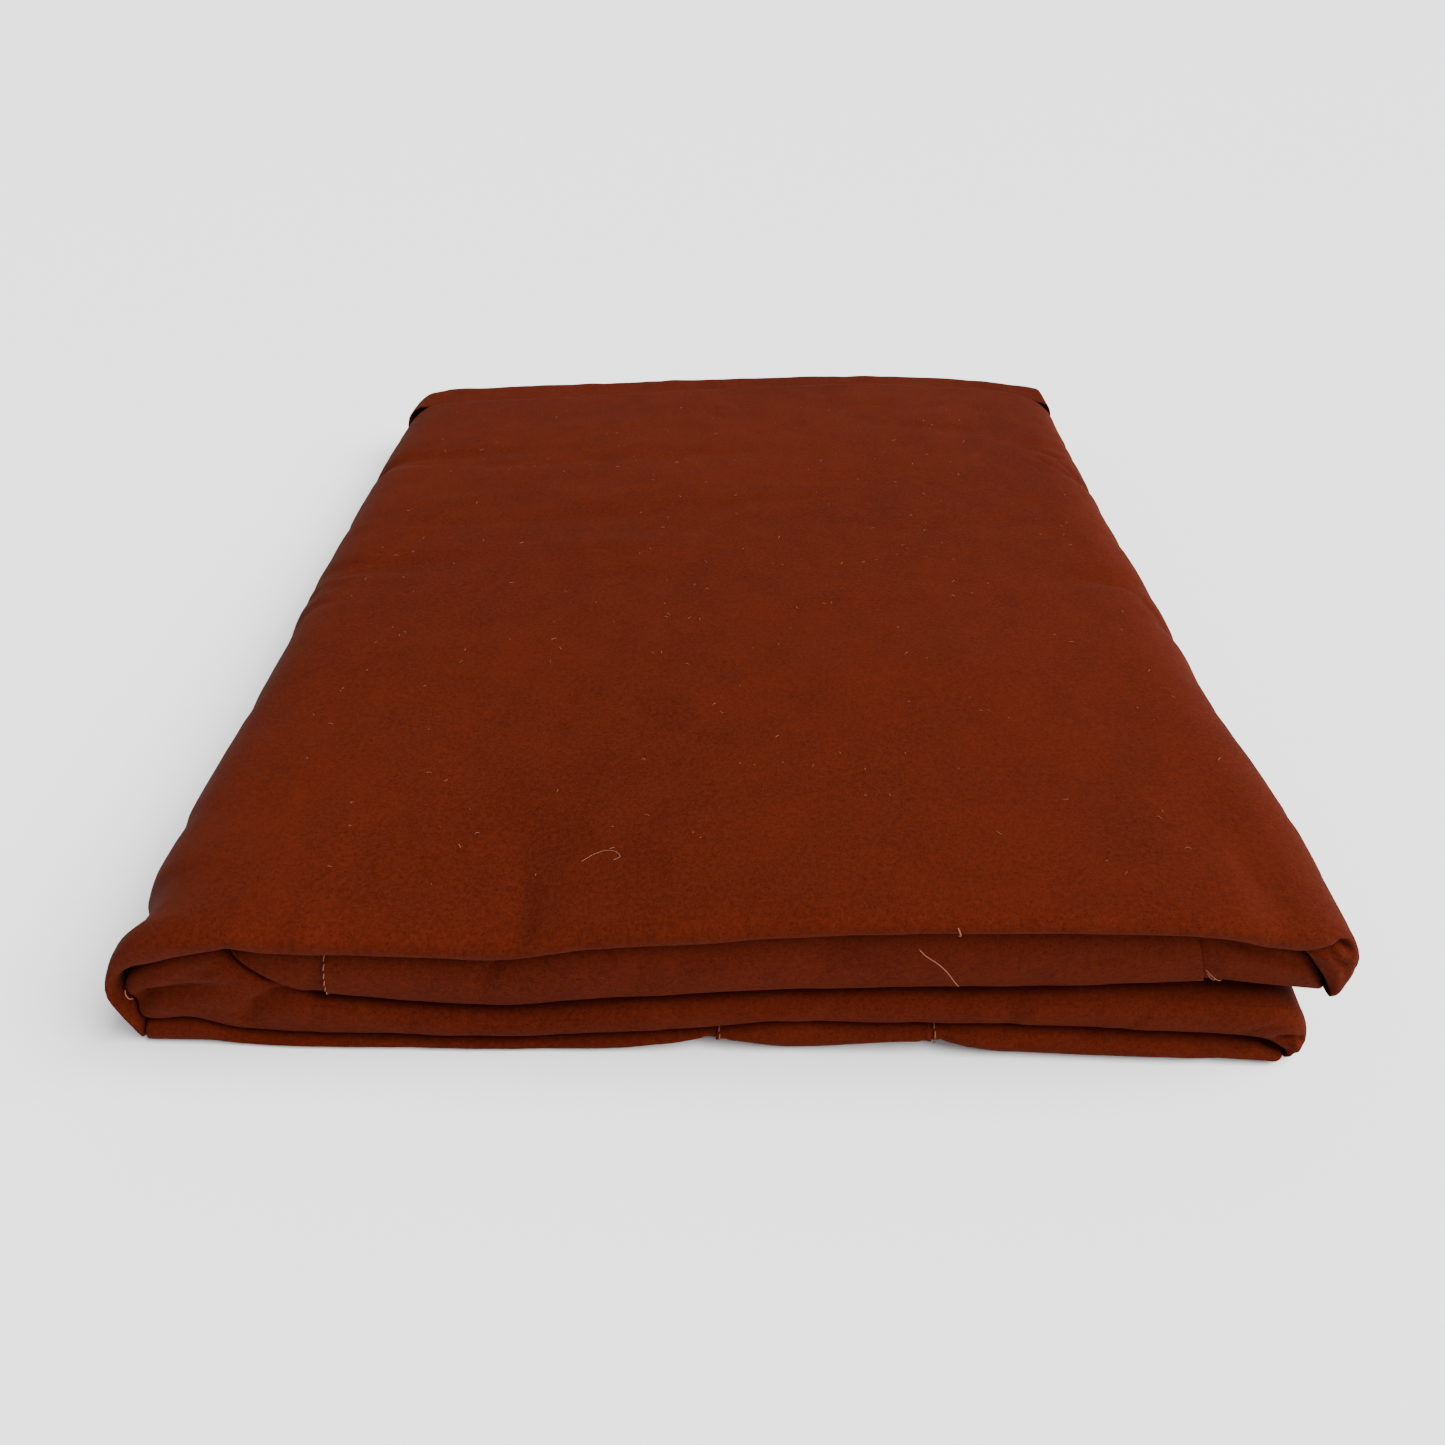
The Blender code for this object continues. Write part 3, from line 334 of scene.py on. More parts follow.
# Seams across the folds: lower and upper x
SeamRow = namedtuple("SeamRow", "low high")
SECOND_FOLD_ENDS = (SeamRow(-134.0, -157.5), SeamRow(189.8, 175.0))
SECOND_FOLD_SEAMS = (SeamRow(-129.9, -126.9), SeamRow(148.0, 140.0))
BOTTOM_FOLD_ENDS = (SeamRow(-192.4, -192.0), SeamRow(179.4, 177.6))
BOTTOM_FOLD_SEAMS = (SeamRow(-5.8, -5.8), SeamRow(64.2, 64.0))

# Layer edges at the back: inset in millimetres, low and high in shares of the height
LayerRow = namedtuple("LayerRow", "inset low high")
BACK_LAYERS = (
    LayerRow(3.4, 0.00, 0.23),
    LayerRow(7.0, 0.26, 0.49),
    LayerRow(3.4, 0.57, 0.86),
    LayerRow(41.0, 0.87, 0.91),
)

# How far forward the hidden layers may come beside the corners' turns: x and y
FRONT_LIMIT = ((-134, -232), (-124, -260), (142, -260), (152, -232))

# Smaller ripples of the top panel
FINE_RIPPLES = (
    RippleRow(172, 118, 9, 2.6, -28, -1.0),
    RippleRow(180, 98, 16, 2.6, -70, -0.9),
    RippleRow(172, 100, 15, 2.4, -58, -0.8),
    RippleRow(168, -34, 8, 3.0, -24, -1.0),
    RippleRow(180, -54, 16, 3.0, -76, -1.1),
    RippleRow(-172, 111, 18, 3.2, 0, -0.9),
    RippleRow(-120, 106, 34, 4.5, -6, -0.5),
    RippleRow(-30, 113, 34, 5.0, 5, -0.4),
    RippleRow(-175, -14, 14, 3.0, 4, -0.9),
    RippleRow(-150, -15, 18, 4.0, -8, -0.5),
    RippleRow(-184, -26, 9, 2.6, 24, -0.9),
    RippleRow(-100, 36, 36, 5.0, 4, -0.5),
    RippleRow(-5, 50, 30, 5.0, 2, -0.5),
    RippleRow(60, 74, 46, 7.0, -5, -0.4),
    RippleRow(110, 20, 40, 8.0, 8, -0.5),
    RippleRow(40, -52, 50, 8.0, 4, 0.4),
    RippleRow(-140, 62, 30, 6.0, 10, 0.5),
    RippleRow(120, 150, 34, 7.0, -8, -0.4),
    RippleRow(-90, 158, 40, 8.0, 6, 0.4),
    RippleRow(-110, -80, 46, 9.0, -4, 0.4),
    RippleRow(30, -170, 60, 12.0, 2, -0.3),
    RippleRow(-66, -236, 4, 14.0, 6, -0.7),
    RippleRow(-132, -238, 5, 12.0, -8, 0.5),
    RippleRow(24, -240, 8, 12.0, 0, 0.4),
    RippleRow(150, -236, 8, 14.0, 14, 0.6),
    RippleRow(164, -233, 4, 11.0, 18, -0.9),
)

# Finer creases of the third fold's left end: x, z and depth of each point
FINE_CREASES = (
    CreaseLine(1.1, ((-190.6, 19.6, 0.8), (-187.6, 22.4, 1.6), (-175.0, 25.9, 1.2), (-163.7, 28.3, 0.3))),
    CreaseLine(1.2, ((-156.6, 14.0, 0.5), (-153.3, 19.6, 1.0), (-146.7, 23.6, 1.3), (-137.6, 25.4, 1.0))),
    CreaseLine(1.2, ((-158.0, 41.5, 0.0), (-150.0, 33.5, 0.7), (-142.0, 27.0, 0.6))),
)

# Dents and creases pressed into the front: middle, half lengths, turn in degrees and depth
DentRow = namedtuple("DentRow", "x z half_length half_width turn depth")
SECOND_DENTS = (
    DentRow(-73.5, 40.0, 7.0, 1.8, 62, 1.8),
    DentRow(-78.0, 35.0, 9.0, 3.0, 75, 0.9),
    DentRow(-30.0, 37.0, 9.0, 4.0, 80, 0.5),
    DentRow(28.0, 42.0, 12.0, 4.0, 70, 0.5),
    DentRow(74.0, 40.0, 10.0, 3.5, 98, 0.5),
    DentRow(112.0, 44.0, 14.0, 3.0, 10, 0.5),
    DentRow(-102.0, 32.0, 9.0, 3.5, 100, 0.5),
    DentRow(-124.6, 35.0, 9.0, 1.3, 76, 0.6),
    DentRow(-132.0, 36.0, 9.0, 1.2, 76, 0.5),
    DentRow(160.0, 38.0, 11.0, 2.6, -14, 0.8),
    DentRow(168.0, 44.0, 9.0, 1.6, -24, 0.7),
    DentRow(156.0, 49.0, 8.0, 1.6, -30, 0.7),
)
THIRD_DENTS = (
    DentRow(-61.5, 16.5, 5.0, 1.4, 66, 1.5),
    DentRow(14.0, 22.0, 9.0, 2.4, 4, 1.8),
    DentRow(30.0, 19.5, 8.0, 2.4, 60, 0.5),
    DentRow(-20.0, 16.0, 9.0, 3.0, 84, 0.5),
    DentRow(88.0, 20.0, 10.0, 3.0, 92, 0.5),
    DentRow(128.0, 19.0, 9.0, 2.4, 60, 0.7),
    DentRow(21.0, 12.0, 4.5, 1.6, 0, -1.2),
    DentRow(-104.0, 15.0, 9.0, 3.0, 100, 0.5),
    DentRow(-164.0, 36.0, 10.0, 1.8, 32, 0.9),
    DentRow(-174.0, 32.4, 9.0, 1.4, 34, 0.7),
    DentRow(-171.0, 19.0, 12.0, 2.2, -8, 0.6),
    DentRow(-181.0, 13.0, 8.0, 2.4, -20, 0.5),
    DentRow(177.8, 11.0, 4.6, 1.9, -10, 3.4),
    DentRow(166.0, 16.0, 8.0, 1.5, 22, 0.7),
    DentRow(180.4, 5.0, 5.0, 1.2, -52, 1.2),
    DentRow(182.6, 9.0, 4.0, 1.0, -70, 0.8),
)
BOTTOM_DENTS = (
    DentRow(-8.5, 6.0, 6.0, 1.6, 82, 0.8),
    DentRow(-3.0, 6.0, 6.0, 1.6, 98, 0.7),
    DentRow(61.8, 8.0, 6.0, 1.2, 92, 0.6),
    DentRow(67.5, 8.0, 6.0, 1.6, 86, 0.7),
    DentRow(24.0, 8.0, 9.0, 2.4, 20, 0.5),
    DentRow(110.0, 7.0, 12.0, 2.4, -4, 0.5),
    DentRow(-60.0, 4.0, 12.0, 1.6, 4, 0.4),
    DentRow(-150.0, 3.6, 12.0, 1.4, 6, 0.5),
    DentRow(150.0, 6.0, 9.0, 1.8, -24, 0.9),
)
LIP_DENTS = (
    DentRow(178.6, 51.2, 5.4, 1.7, 14, 6.0),
    DentRow(184.6, 51.0, 4.5, 1.5, -42, 3.6),
    DentRow(184.5, 45.5, 7.0, 1.2, -38, 1.8),
    DentRow(181.6, 40.4, 6.0, 1.2, -52, 1.1),
    DentRow(188.0, 38.0, 6.0, 1.4, -70, 0.8),
    DentRow(-190.0, 35.0, 7.0, 1.2, 46, 1.0),
    DentRow(-195.6, 20.0, 6.0, 1.0, 100, 0.8),
)

# Creases across the rolled sides: place along the pack, height, half lengths, slant and depth
SideCrease = namedtuple("SideCrease", "y z half_length half_width slant depth")
SPINE_CREASES = (
    SideCrease(119, 34, 16, 5.0, 10, 1.8),
    SideCrease(-20, 36, 15, 4.0, -6, 1.7),
    SideCrease(-42, 38, 13, 4.0, 16, 1.4),
    SideCrease(60, 22, 18, 6.0, -14, 0.8),
    SideCrease(-110, 26, 20, 7.0, 12, 0.8),
    SideCrease(-176, 30, 18, 5.0, -20, 0.9),
    SideCrease(168, 24, 16, 5.0, 14, 0.8),
    SideCrease(-214, 24, 14, 3.0, 24, 0.9),
    SideCrease(10, 16, 12, 3.0, 30, 0.7),
    SideCrease(88, 14, 12, 3.0, -24, 0.6),
)
TURN_CREASES = (
    SideCrease(86, 42, 13, 4.0, 22, 1.8),
    SideCrease(-70, 44, 13, 4.5, 26, 1.9),
    SideCrease(20, 38, 12, 4.0, -12, 0.9),
    SideCrease(-130, 40, 13, 5.0, 14, 0.8),
    SideCrease(-186, 42, 12, 4.0, -16, 0.9),
    SideCrease(150, 36, 11, 4.0, -14, 0.9),
    SideCrease(-20, 12, 11, 4.0, 12, 0.9),
    SideCrease(-150, 14, 12, 5.0, -14, 0.9),
    SideCrease(90, 12, 11, 4.0, 20, 0.8),
    SideCrease(180, 14, 11, 4.0, -12, 0.8),
    SideCrease(-222, 40, 9, 2.5, 30, 0.8),
)

# The camera, as the photograph saw the pack
CAMERA_PLACE = np.array((-2.17, -500.54, 320.45)) * MM - OUTLINE_MIDDLE
CAMERA_LENS = 30.0
CAMERA_SENSOR = 36.0
CAMERA_DIP = 53.77
CAMERA_TURN = 0.286

CAMERA_NEAR = 0.02

# The lights and the floor, in metres
LIGHT_TARGET = (0.0, 0.0, 0.03)
KEY_PLACE = (0.85, -0.20, 1.0)
KEY_SOFTNESS = 0.9
FILL_PLACE = (0.7, -1.4, 1.1)
FILL_SIZE = 1.4
FLOOR_HALF = 6
FLOOR_DROP = 0.0002

# Seeds of the small waves and of the lint
TOP_SEED = 11
SECOND_SEED = 21
THIRD_SEED = 41
BOTTOM_SEED = 51
BACK_SEED = 61
LINT_SEED = 77

# Where the painted sheen lies on the rolled sides: lighter colour where the raised nap catches the light
LEFT_SHEEN = -193 * MM
RIGHT_SHEEN = 192 * MM
SHEEN_REACH = 9 * MM
SIDE_SHEEN = 0.7

# Stations round the hidden layers, and the rings of their flat top and underside
CORE_STATIONS = (110, 120, 110, 60)
CORNER_STATIONS = 14
CAP_SCALES = (0.97, 0.93, 0.88, 0.8, 0.65, 0.45, 0.2, 0.02)

# How closely the cotton's marks follow each other, per metre
WANDER_SCALE = 90.0
GRAIN_SCALE = 1500.0
NAP_SCALE = 620.0
SLUB_SCALE = (260.0, 1700.0, 1.0)
MOTTLE_SCALE = 55.0
CLOUD_SCALE = 9.0
STRAND_SCALE = 2600.0
# Painted shade: the hidden layers' cotton is darkened to this share of the same cloth's colours
INNER_PAINTED_SHADE = 0.8
LINT_COLOR = (0.40, 0.17, 0.10)


class ClothSettings(bpy.types.PropertyGroup):
    """Sizes and colours of the robe's cotton."""

    thickness: FloatProperty(
        name="Cloth thickness", description="Thickness of one layer of cloth",
        default=0.0007, min=0.0002, max=0.002, unit="LENGTH", precision=5)
    weave: FloatProperty(
        name="Weave", description="Distance from one thread of the weave to the next",
        default=0.00062, min=0.0002, max=0.003, unit="LENGTH", precision=5)
    rumple: FloatProperty(
        name="Rumple", description="Height of the small uneven waves all over the cloth",
        default=0.00022, min=0.0, max=0.002, unit="LENGTH", precision=5)
    color: FloatVectorProperty(
        name="Colour", description="Main colour of the cotton",
        default=(0.0480, 0.0050, 0.0012), subtype="COLOR", min=0.0, max=1.0)
    shade_color: FloatVectorProperty(
        name="Shade colour", description="Colour of the cotton where the dye is deepest",
        default=(0.0360, 0.0034, 0.0009), subtype="COLOR", min=0.0, max=1.0)
    # Lighter colour of the raised nap specks all over, and of the painted sheen on the folds' edges and
    # sides
    nap_and_sheen_color: FloatVectorProperty(
        name="Worn colour", description="Colour of the raised nap on the folds' edges",
        default=(0.0840, 0.0116, 0.0032), subtype="COLOR", min=0.0, max=1.0)


class SewingSettings(bpy.types.PropertyGroup):
    """Sizes and colours of stitches, threads and lint."""

    stitch: FloatProperty(
        name="Stitch length", description="Length of one stitch that shows",
        default=0.0027, min=0.001, max=0.006, unit="LENGTH", precision=4)
    pitch: FloatProperty(
        name="Stitch pitch", description="Distance from one stitch to the next",
        default=0.0034, min=0.001, max=0.008, unit="LENGTH", precision=4)
    thread: FloatProperty(
        name="Thread", description="Thickness of the sewing thread",
        default=0.00042, min=0.0001, max=0.001, unit="LENGTH", precision=5)
    color: FloatVectorProperty(
        name="Thread colour", description="Colour of the sewing thread",
        default=(0.20, 0.046, 0.012), subtype="COLOR", min=0.0, max=1.0)
    lint: IntProperty(
        name="Lint", description="Number of lint specks and short fibres",
        default=220, min=0, max=2000)


class StageSettings(bpy.types.PropertyGroup):
    """Floor, lights and world."""

    floor_color: FloatVectorProperty(
        name="Floor colour", description="Colour of the plain floor",
        default=(0.93, 0.93, 0.93), subtype="COLOR", min=0.0, max=1.0)
    key: FloatProperty(
        name="Key light", description="Strength of the soft light from the upper right",
        default=9.0, min=0.0, max=100.0)
    fill: FloatProperty(
        name="Fill light", description="Power of the soft light from the front",
        default=3.0, min=0.0, max=1000.0, unit="POWER")
    world: FloatProperty(
        name="World light", description="Strength of the even light from all round",
        default=0.70, min=0.0, max=10.0)


def column(table, name):
    return np.array([getattr(row, name) for row in table], float)


def smooth(keys, values, at):
    """A smooth curve through the keys that never overshoots them.

    The values are one number for each key, or one array of the shape of the places.
    """
    keys = np.asarray(keys, float)
    at = np.clip(np.asarray(at, float), keys[0], keys[-1])
    values = np.asarray(values, float)
    values = values.reshape(values.shape + (1,) * (at.ndim + 1 - values.ndim))
    values = np.broadcast_to(values, (len(keys),) + at.shape)
    step = np.diff(keys).reshape((-1,) + (1,) * at.ndim)
    rise = np.diff(values, axis=0) / step
    slope = np.zeros(values.shape)
    same_way = rise[:-1] * rise[1:] > 0
    total = np.where(same_way, rise[:-1] + rise[1:], 1.0)
    slope[1:-1] = np.where(same_way, 2.0 * rise[:-1] * rise[1:] / total, 0.0)
    slope[0] = rise[0]
    slope[-1] = rise[-1]
    i = np.clip(np.searchsorted(keys, at, side="right") - 1, 0, len(keys) - 2)
    width = np.diff(keys)[i]
    t = (at - keys[i]) / width

    def pick(table, index):
        return np.take_along_axis(table, index[None], axis=0)[0]

    start, end = pick(values, i), pick(values, i + 1)
    bend_in, bend_out = pick(slope, i) * width, pick(slope, i + 1) * width
    line = start * (1 + 2 * t) * (1 - t) ** 2 + end * t**2 * (3 - 2 * t)
    return line + bend_in * t * (1 - t) ** 2 - bend_out * t**2 * (1 - t)


def from_table(table, key, name, at):
    """A table's named column in metres, at places along its key column in metres."""
    return smooth(column(table, key) * MM, column(table, name) * MM, at)


def roll(table, name, step):
    """A roll table's named column, at steps from 0 to 1."""
    return smooth(column(table, "step"), column(table, name), step)


def side(name, y):
    return from_table(SIDE_LINES, "y", name, y)


def bump_sum(rows, across, up, names, heights):
    """Adds the table's soft bumps over a surface, each turned by its own angle."""
    total = np.zeros(np.broadcast(across, up).shape)
    for row in rows:
        angle = math.radians(getattr(row, names[2]))
        a = across / MM - getattr(row, names[0])
        b = up / MM - getattr(row, names[1])
        along = a * math.cos(angle) + b * math.sin(angle)
        beside = b * math.cos(angle) - a * math.sin(angle)
        fall = (along / row.half_length) ** 2 + (beside / row.half_width) ** 2
        total += getattr(row, heights) * MM * np.exp(-fall)
    return total


def base_height(x, y):
    """The top panel's height without its ripples, with the front line's waves near the lip."""
    x, y = np.broadcast_arrays(np.asarray(x, float), np.asarray(y, float))
    stations = [from_table(TOP_HEIGHTS, "y", name, y) for name in TopRow._fields[1:]]
    base = smooth(np.array(TOP_STATIONS) * MM, np.array(stations), x)
    front = from_table(FRONT_LINES, "x", "top", x)
    near = np.clip((LIP_START + FRONT_BLEND - y) / FRONT_BLEND, 0.0, 1.0)
    near = near * near * (3 - 2 * near)
    return base * (1 - near) + front * near


def top_height(x, y):
    """The top panel's height with its large ripples."""
    return base_height(x, y) + bump_sum(RIPPLES, x, y, ("x", "y", "turn"), "height")


def third_crown(x, y):
    """Height of the third fold's cloth along the lower pack's top."""
    crown_x = side("lower_right", y) - LOWER_ROLL
    shelf = side("underside", y) - SHELF_STEP
    line = from_table(FRONT_LINES, "x", "second", x) - SHELF_STEP
    blend = np.clip((x - SHELF_BLEND_X) / (crown_x - SHELF_BLEND_X), 0, 1)
    return np.minimum(line, shelf + SHELF_RISE) * (1 - blend) + np.minimum(line, shelf) * blend


def back_crown(x):
    """Height of the layer that shows behind the top panel."""
    panel = from_table(BACK_LINES, "x", "panel", x)
    return top_height(x, panel) - CLOTH - BACK_STEP


def grid_normals(grid):
    """Unit normals of a grid of points, which point into the pack."""
    along = np.gradient(grid, axis=0)
    across = np.gradient(grid, axis=1)
    normal = np.cross(along, across)
    size = np.linalg.norm(normal, axis=2, keepdims=True)
    return normal / np.maximum(size, 1e-12)


def cloth_lengths(grid):
    """The cloth's own flat coordinates: metres along each way of the grid."""
    across = np.linalg.norm(np.diff(grid, axis=1), axis=2).mean(axis=0)
    along = np.linalg.norm(np.diff(grid, axis=0), axis=2).mean(axis=1)
    u = np.concatenate([[0.0], np.cumsum(across)])
    v = np.concatenate([[0.0], np.cumsum(along)])
    return np.stack(np.meshgrid(u, v), axis=2)


def rumple(grid, flat, height, seed):
    """Presses small uneven waves into a sheet, as soft cloth has all over."""
    draw = np.random.default_rng(seed)
    total = np.zeros(grid.shape[:2])
    for length, share in ((0.055, 1.0), (0.034, 0.75), (0.021, 0.5), (0.013, 0.3)):
        for _ in range(4):
            angle = draw.uniform(0, math.pi)
            stretch = draw.uniform(0.75, 1.3)
            phase = draw.uniform(0, 2 * math.pi)
            bend = draw.uniform(0, 2 * math.pi)
            run = flat[..., 0] * math.cos(angle) + flat[..., 1] * math.sin(angle)
            aside = flat[..., 1] * math.cos(angle) - flat[..., 0] * math.sin(angle)
            swing = 0.8 * np.sin(aside * 2 * math.pi / (length * 2.6) + bend)
            total += share * np.sin(run * 2 * math.pi / (length * stretch) + phase + swing) / 4
    return grid - grid_normals(grid) * (total * height)[..., None]


def press_front(grid, rows, turns):
    """Presses a table's dents back into a front fold, less where its rows turn in."""
    depth = bump_sum(rows, grid[..., 0], grid[..., 2], ("x", "z", "turn"), "depth")
    edge = np.clip(np.sin(np.radians(turns)), 0, 1) ** 0.4
    moved = grid.copy()
    moved[..., 1] += depth * edge[:, None]
    return moved


def press_sides(grid):
    """Presses the creases across the rolled sides, on the left and on the right."""
    moved = grid.copy()
    normal = grid_normals(grid)
    for rows, sign in ((SPINE_CREASES, -1), (TURN_CREASES, 1)):
        depth = np.zeros(grid.shape[:2])
        for row in rows:
            angle = math.radians(row.slant)
            a = grid[..., 1] / MM - row.y
            b = grid[..., 2] / MM - row.z
            along = b * math.cos(angle) + a * math.sin(angle)
            beside = a * math.cos(angle) - b * math.sin(angle)
            fall = (along / row.half_length) ** 2 + (beside / row.half_width) ** 2
            depth += row.depth * MM * np.exp(-fall)
        outside = np.clip((sign * grid[..., 0] - CREASE_START) / CREASE_RAMP, 0, 1)
        moved += normal * (depth * outside)[..., None]
    return moved


def add_piece(name, verts, faces, uvs, material, nodes=()):
    """Makes a mesh piece, gives it its flat coordinates and material, and lets it ride."""
    mesh = bpy.data.meshes.new(name)
    mesh.from_pydata((verts - OUTLINE_MIDDLE).tolist(), [], faces)
    if uvs is not None:
        layer = mesh.uv_layers.new(name="cloth")
        index = np.empty(len(mesh.loops), dtype=np.int32)
        mesh.loops.foreach_get("vertex_index", index)
        layer.data.foreach_set("uv", uvs[index].astype(np.float32).ravel())
    mesh.shade_smooth()
    piece = bpy.data.objects.new(name, mesh)
    bpy.context.scene.collection.objects.link(piece)
    mesh.materials.append(material)
    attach(piece, "root")
    if nodes:
        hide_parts(*nodes)
    return piece


def cloth_shell(name, grid, material, thickness, nodes, keep=None, worn=None):
    """A thin closed shell of cloth: the outer grid, the same grid moved in, and narrow rims."""
    flat = cloth_lengths(grid)
    rows, columns = grid.shape[:2]
    if keep is None:
        keep = np.ones((rows - 1, columns - 1), bool)
    inner = grid + grid_normals(grid) * thickness
    number = np.arange(rows * columns).reshape(rows, columns)
    corners = np.stack([number[:-1, :-1], number[1:, :-1], number[1:, 1:], number[:-1, 1:]], axis=2)
    count = rows * columns
    outside = corners[keep][:, ::-1]
    inside = corners[keep] + count
    padded = np.pad(keep, 1)
    rims = []
    beside = (padded[1:-1, :-2], padded[2:, 1:-1], padded[1:-1, 2:], padded[:-2, 1:-1])
    for k, neighbour in enumerate(beside):
        open_edge = keep & ~neighbour
        a = corners[..., k][open_edge]
        b = corners[..., (k + 1) % 4][open_edge]
        rims.append(np.stack([a, b, b + count, a + count], axis=1))
    faces = np.concatenate([outside, inside] + rims)
    used, faces_used = np.unique(faces, return_inverse=True)
    verts = np.concatenate([grid.reshape(-1, 3), inner.reshape(-1, 3)])[used]
    uvs = np.concatenate([flat.reshape(-1, 2)] * 2)[used]
    piece = add_piece(name, verts, faces_used.reshape(faces.shape).tolist(), uvs, material, nodes)
    # How much painted sheen each point has, kept as the piece's attribute
    amount = np.zeros((rows, columns)) if worn is None else worn
    amount = np.concatenate([amount.reshape(-1)] * 2)[used]
    attribute = piece.data.attributes.new("worn", "FLOAT", "POINT")
    attribute.data.foreach_set("value", amount.astype(np.float32))
    return piece


def cut_size(grid, keep=None):
    """The flat width and length of what shows of a sheet, and its flat area."""
    flat = cloth_lengths(grid)
    width = float(flat[..., 0].max())
    length = float(flat[..., 1].max())
    across = np.linalg.norm(np.diff(grid, axis=1), axis=2)
    along = np.linalg.norm(np.diff(grid, axis=0), axis=2)
    area = across[:-1] * along[:, :-1]
    shown = float(area.sum() if keep is None else area[keep].sum())
    return width, length, min(shown, width * length)


def declare_cloth(grid, keep=None):
    """Works out the flat width, length and area of what shows of a folded sheet."""
    width, length, area = cut_size(grid, keep)
    size = (round(width, 4), round(length, 4))
    whole = size[0] * size[1]
    area = float(np.clip(area, 0.3 * whole, whole))


def panel_grid(y, spine_steps, top_steps, turn_steps):
    """Points of the top panel for a grid of y: its columns run from the spine to the turn."""
    ends = np.cumsum([len(spine_steps), len(top_steps)])
    y_spine, y_top, y_turn = np.split(y, ends, axis=1)
    left = side("left", y_spine)
    x_spine = left + roll(SPINE_PROFILE, "inset", spine_steps)[None] * MM
    z_spine = top_height(left + SPINE_ROLL, y_spine) * roll(SPINE_PROFILE, "height", spine_steps)[None]
    start = side("left", y_top) + SPINE_ROLL
    x_top = start + (side("upper_right", y_top) - NOSE_ROLL - start) * top_steps[None]
    z_top = top_height(x_top, y_top)
    right = side("upper_right", y_turn)
    under = side("underside", y_turn)
    crown = top_height(right - NOSE_ROLL, y_turn)
    x_turn = right - roll(UPPER_TURN_PROFILE, "inset", turn_steps)[None] * MM
    z_turn = under + (crown - under) * roll(UPPER_TURN_PROFILE, "height", turn_steps)[None]
    x = np.concatenate([x_spine, x_top, x_turn], axis=1)
    z = np.concatenate([z_spine, z_top, z_turn], axis=1)
    return np.stack([x, y, z], axis=2)


def lip_rows(outer, inner, front, start, turns):
    """Rows that carry a section round a fold's nose, from its outer to its inner curve."""
    turns = np.radians(turns)[:, None]
    share = (1 - np.cos(turns)) / 2
    x = outer[0] + (inner[0] - outer[0]) * share
    z = outer[1] + (inner[1] - outer[1]) * share
    y = start + (front - start) * np.sin(turns) ** NOSE_FULLNESS
    return np.stack([x, y, z], axis=2)


def steps_to(count, first=False, last=False):
    """Even steps from 0 to 1, with or without the first and the last."""
    steps = np.linspace(0, 1, count)
    return steps[0 if first else 1:count if last else -1]


def build_top_panel(settings, material):
    """The large outer panel: top, front lip, left spine and upper right turn."""
    spine_steps = steps_to(27, first=True)
    top_steps = steps_to(158, first=True, last=True)
    turn_steps = steps_to(30, last=True)
    count = len(spine_steps) + len(top_steps) + len(turn_steps)
    row_x = panel_grid(np.full((1, count), LIP_START), spine_steps, top_steps, turn_steps)[0, :, 0]
    back = from_table(BACK_LINES, "x", "panel", row_x)
    shares = np.linspace(1, 0, 186)[:, None]
    y = LIP_START + (back - LIP_START) * shares
    body = panel_grid(y, spine_steps, top_steps, turn_steps)
    body[..., 2] += bump_sum(FINE_RIPPLES, body[..., 0], body[..., 1], ("x", "y", "turn"), "height")
    outer = body[-1]
    inner_x = outer[:, 0].copy()
    inner_x[:len(spine_steps)] = roll(SPINE_LIP, "x", spine_steps) * MM
    inner_x[-len(turn_steps):] = roll(UPPER_TURN_LIP, "x", turn_steps) * MM
    inner_z = from_table(FRONT_LINES, "x", "lip", inner_x)
    inner_z[:len(spine_steps)] = roll(SPINE_LIP, "z", spine_steps) * MM
    inner_z[-len(turn_steps):] = roll(UPPER_TURN_LIP, "z", turn_steps) * MM
    front = from_table(FRONT_REACH, "x", "lip", outer[:, 0])
    front[:len(spine_steps)] = roll(SPINE_LIP, "reach", spine_steps) * MM
    front[-len(turn_steps):] = roll(UPPER_TURN_LIP, "reach", turn_steps) * MM
    turns = np.linspace(0, 180, 25)[1:]
    lip = lip_rows((outer[:, 0], outer[:, 2]), (inner_x, inner_z), front, LIP_START, turns)
    lip = press_front(lip, LIP_DENTS, turns)
    tuck = lip[-1:] + np.array([0, TUCK_DEPTH, 0])
    grid = np.concatenate([body, lip, tuck])[::-1]
    grid = press_sides(grid)
    grid = rumple(grid, cloth_lengths(grid), settings.rumple, TOP_SEED)
    # Painted sheen: lighter along the lip's nose and the rolled sides, where the raised nap catches the
    # light
    worn = np.zeros(grid.shape[:2])
    worn[1:len(turns) + 1] = np.sin(np.radians(turns[::-1]))[:, None] ** 2
    worn = np.maximum(worn, edge_sheen(grid))
    piece = cloth_shell("top_panel_cloth", grid, material, settings.thickness, ["top_panel"], worn=worn)
    declare_cloth(grid)


def edge_sheen(grid):
    """How much painted sheen lies on the rolled sides, where the raised nap catches the light, from 0 to 1.
    """
    left = np.clip(1 - np.abs(grid[..., 0] - LEFT_SHEEN) / SHEEN_REACH, 0, 1)
    right = np.clip(1 - np.abs(grid[..., 0] - RIGHT_SHEEN) / SHEEN_REACH, 0, 1)
    return np.maximum(left, right) * SIDE_SHEEN


def fold_band(low, high, reach, back, count):
    """A fold's nose between its lower and upper edge: a grid of stations by turns."""
    turns = np.linspace(0, 180, count)
    return lip_rows(low, high, reach, back, turns)


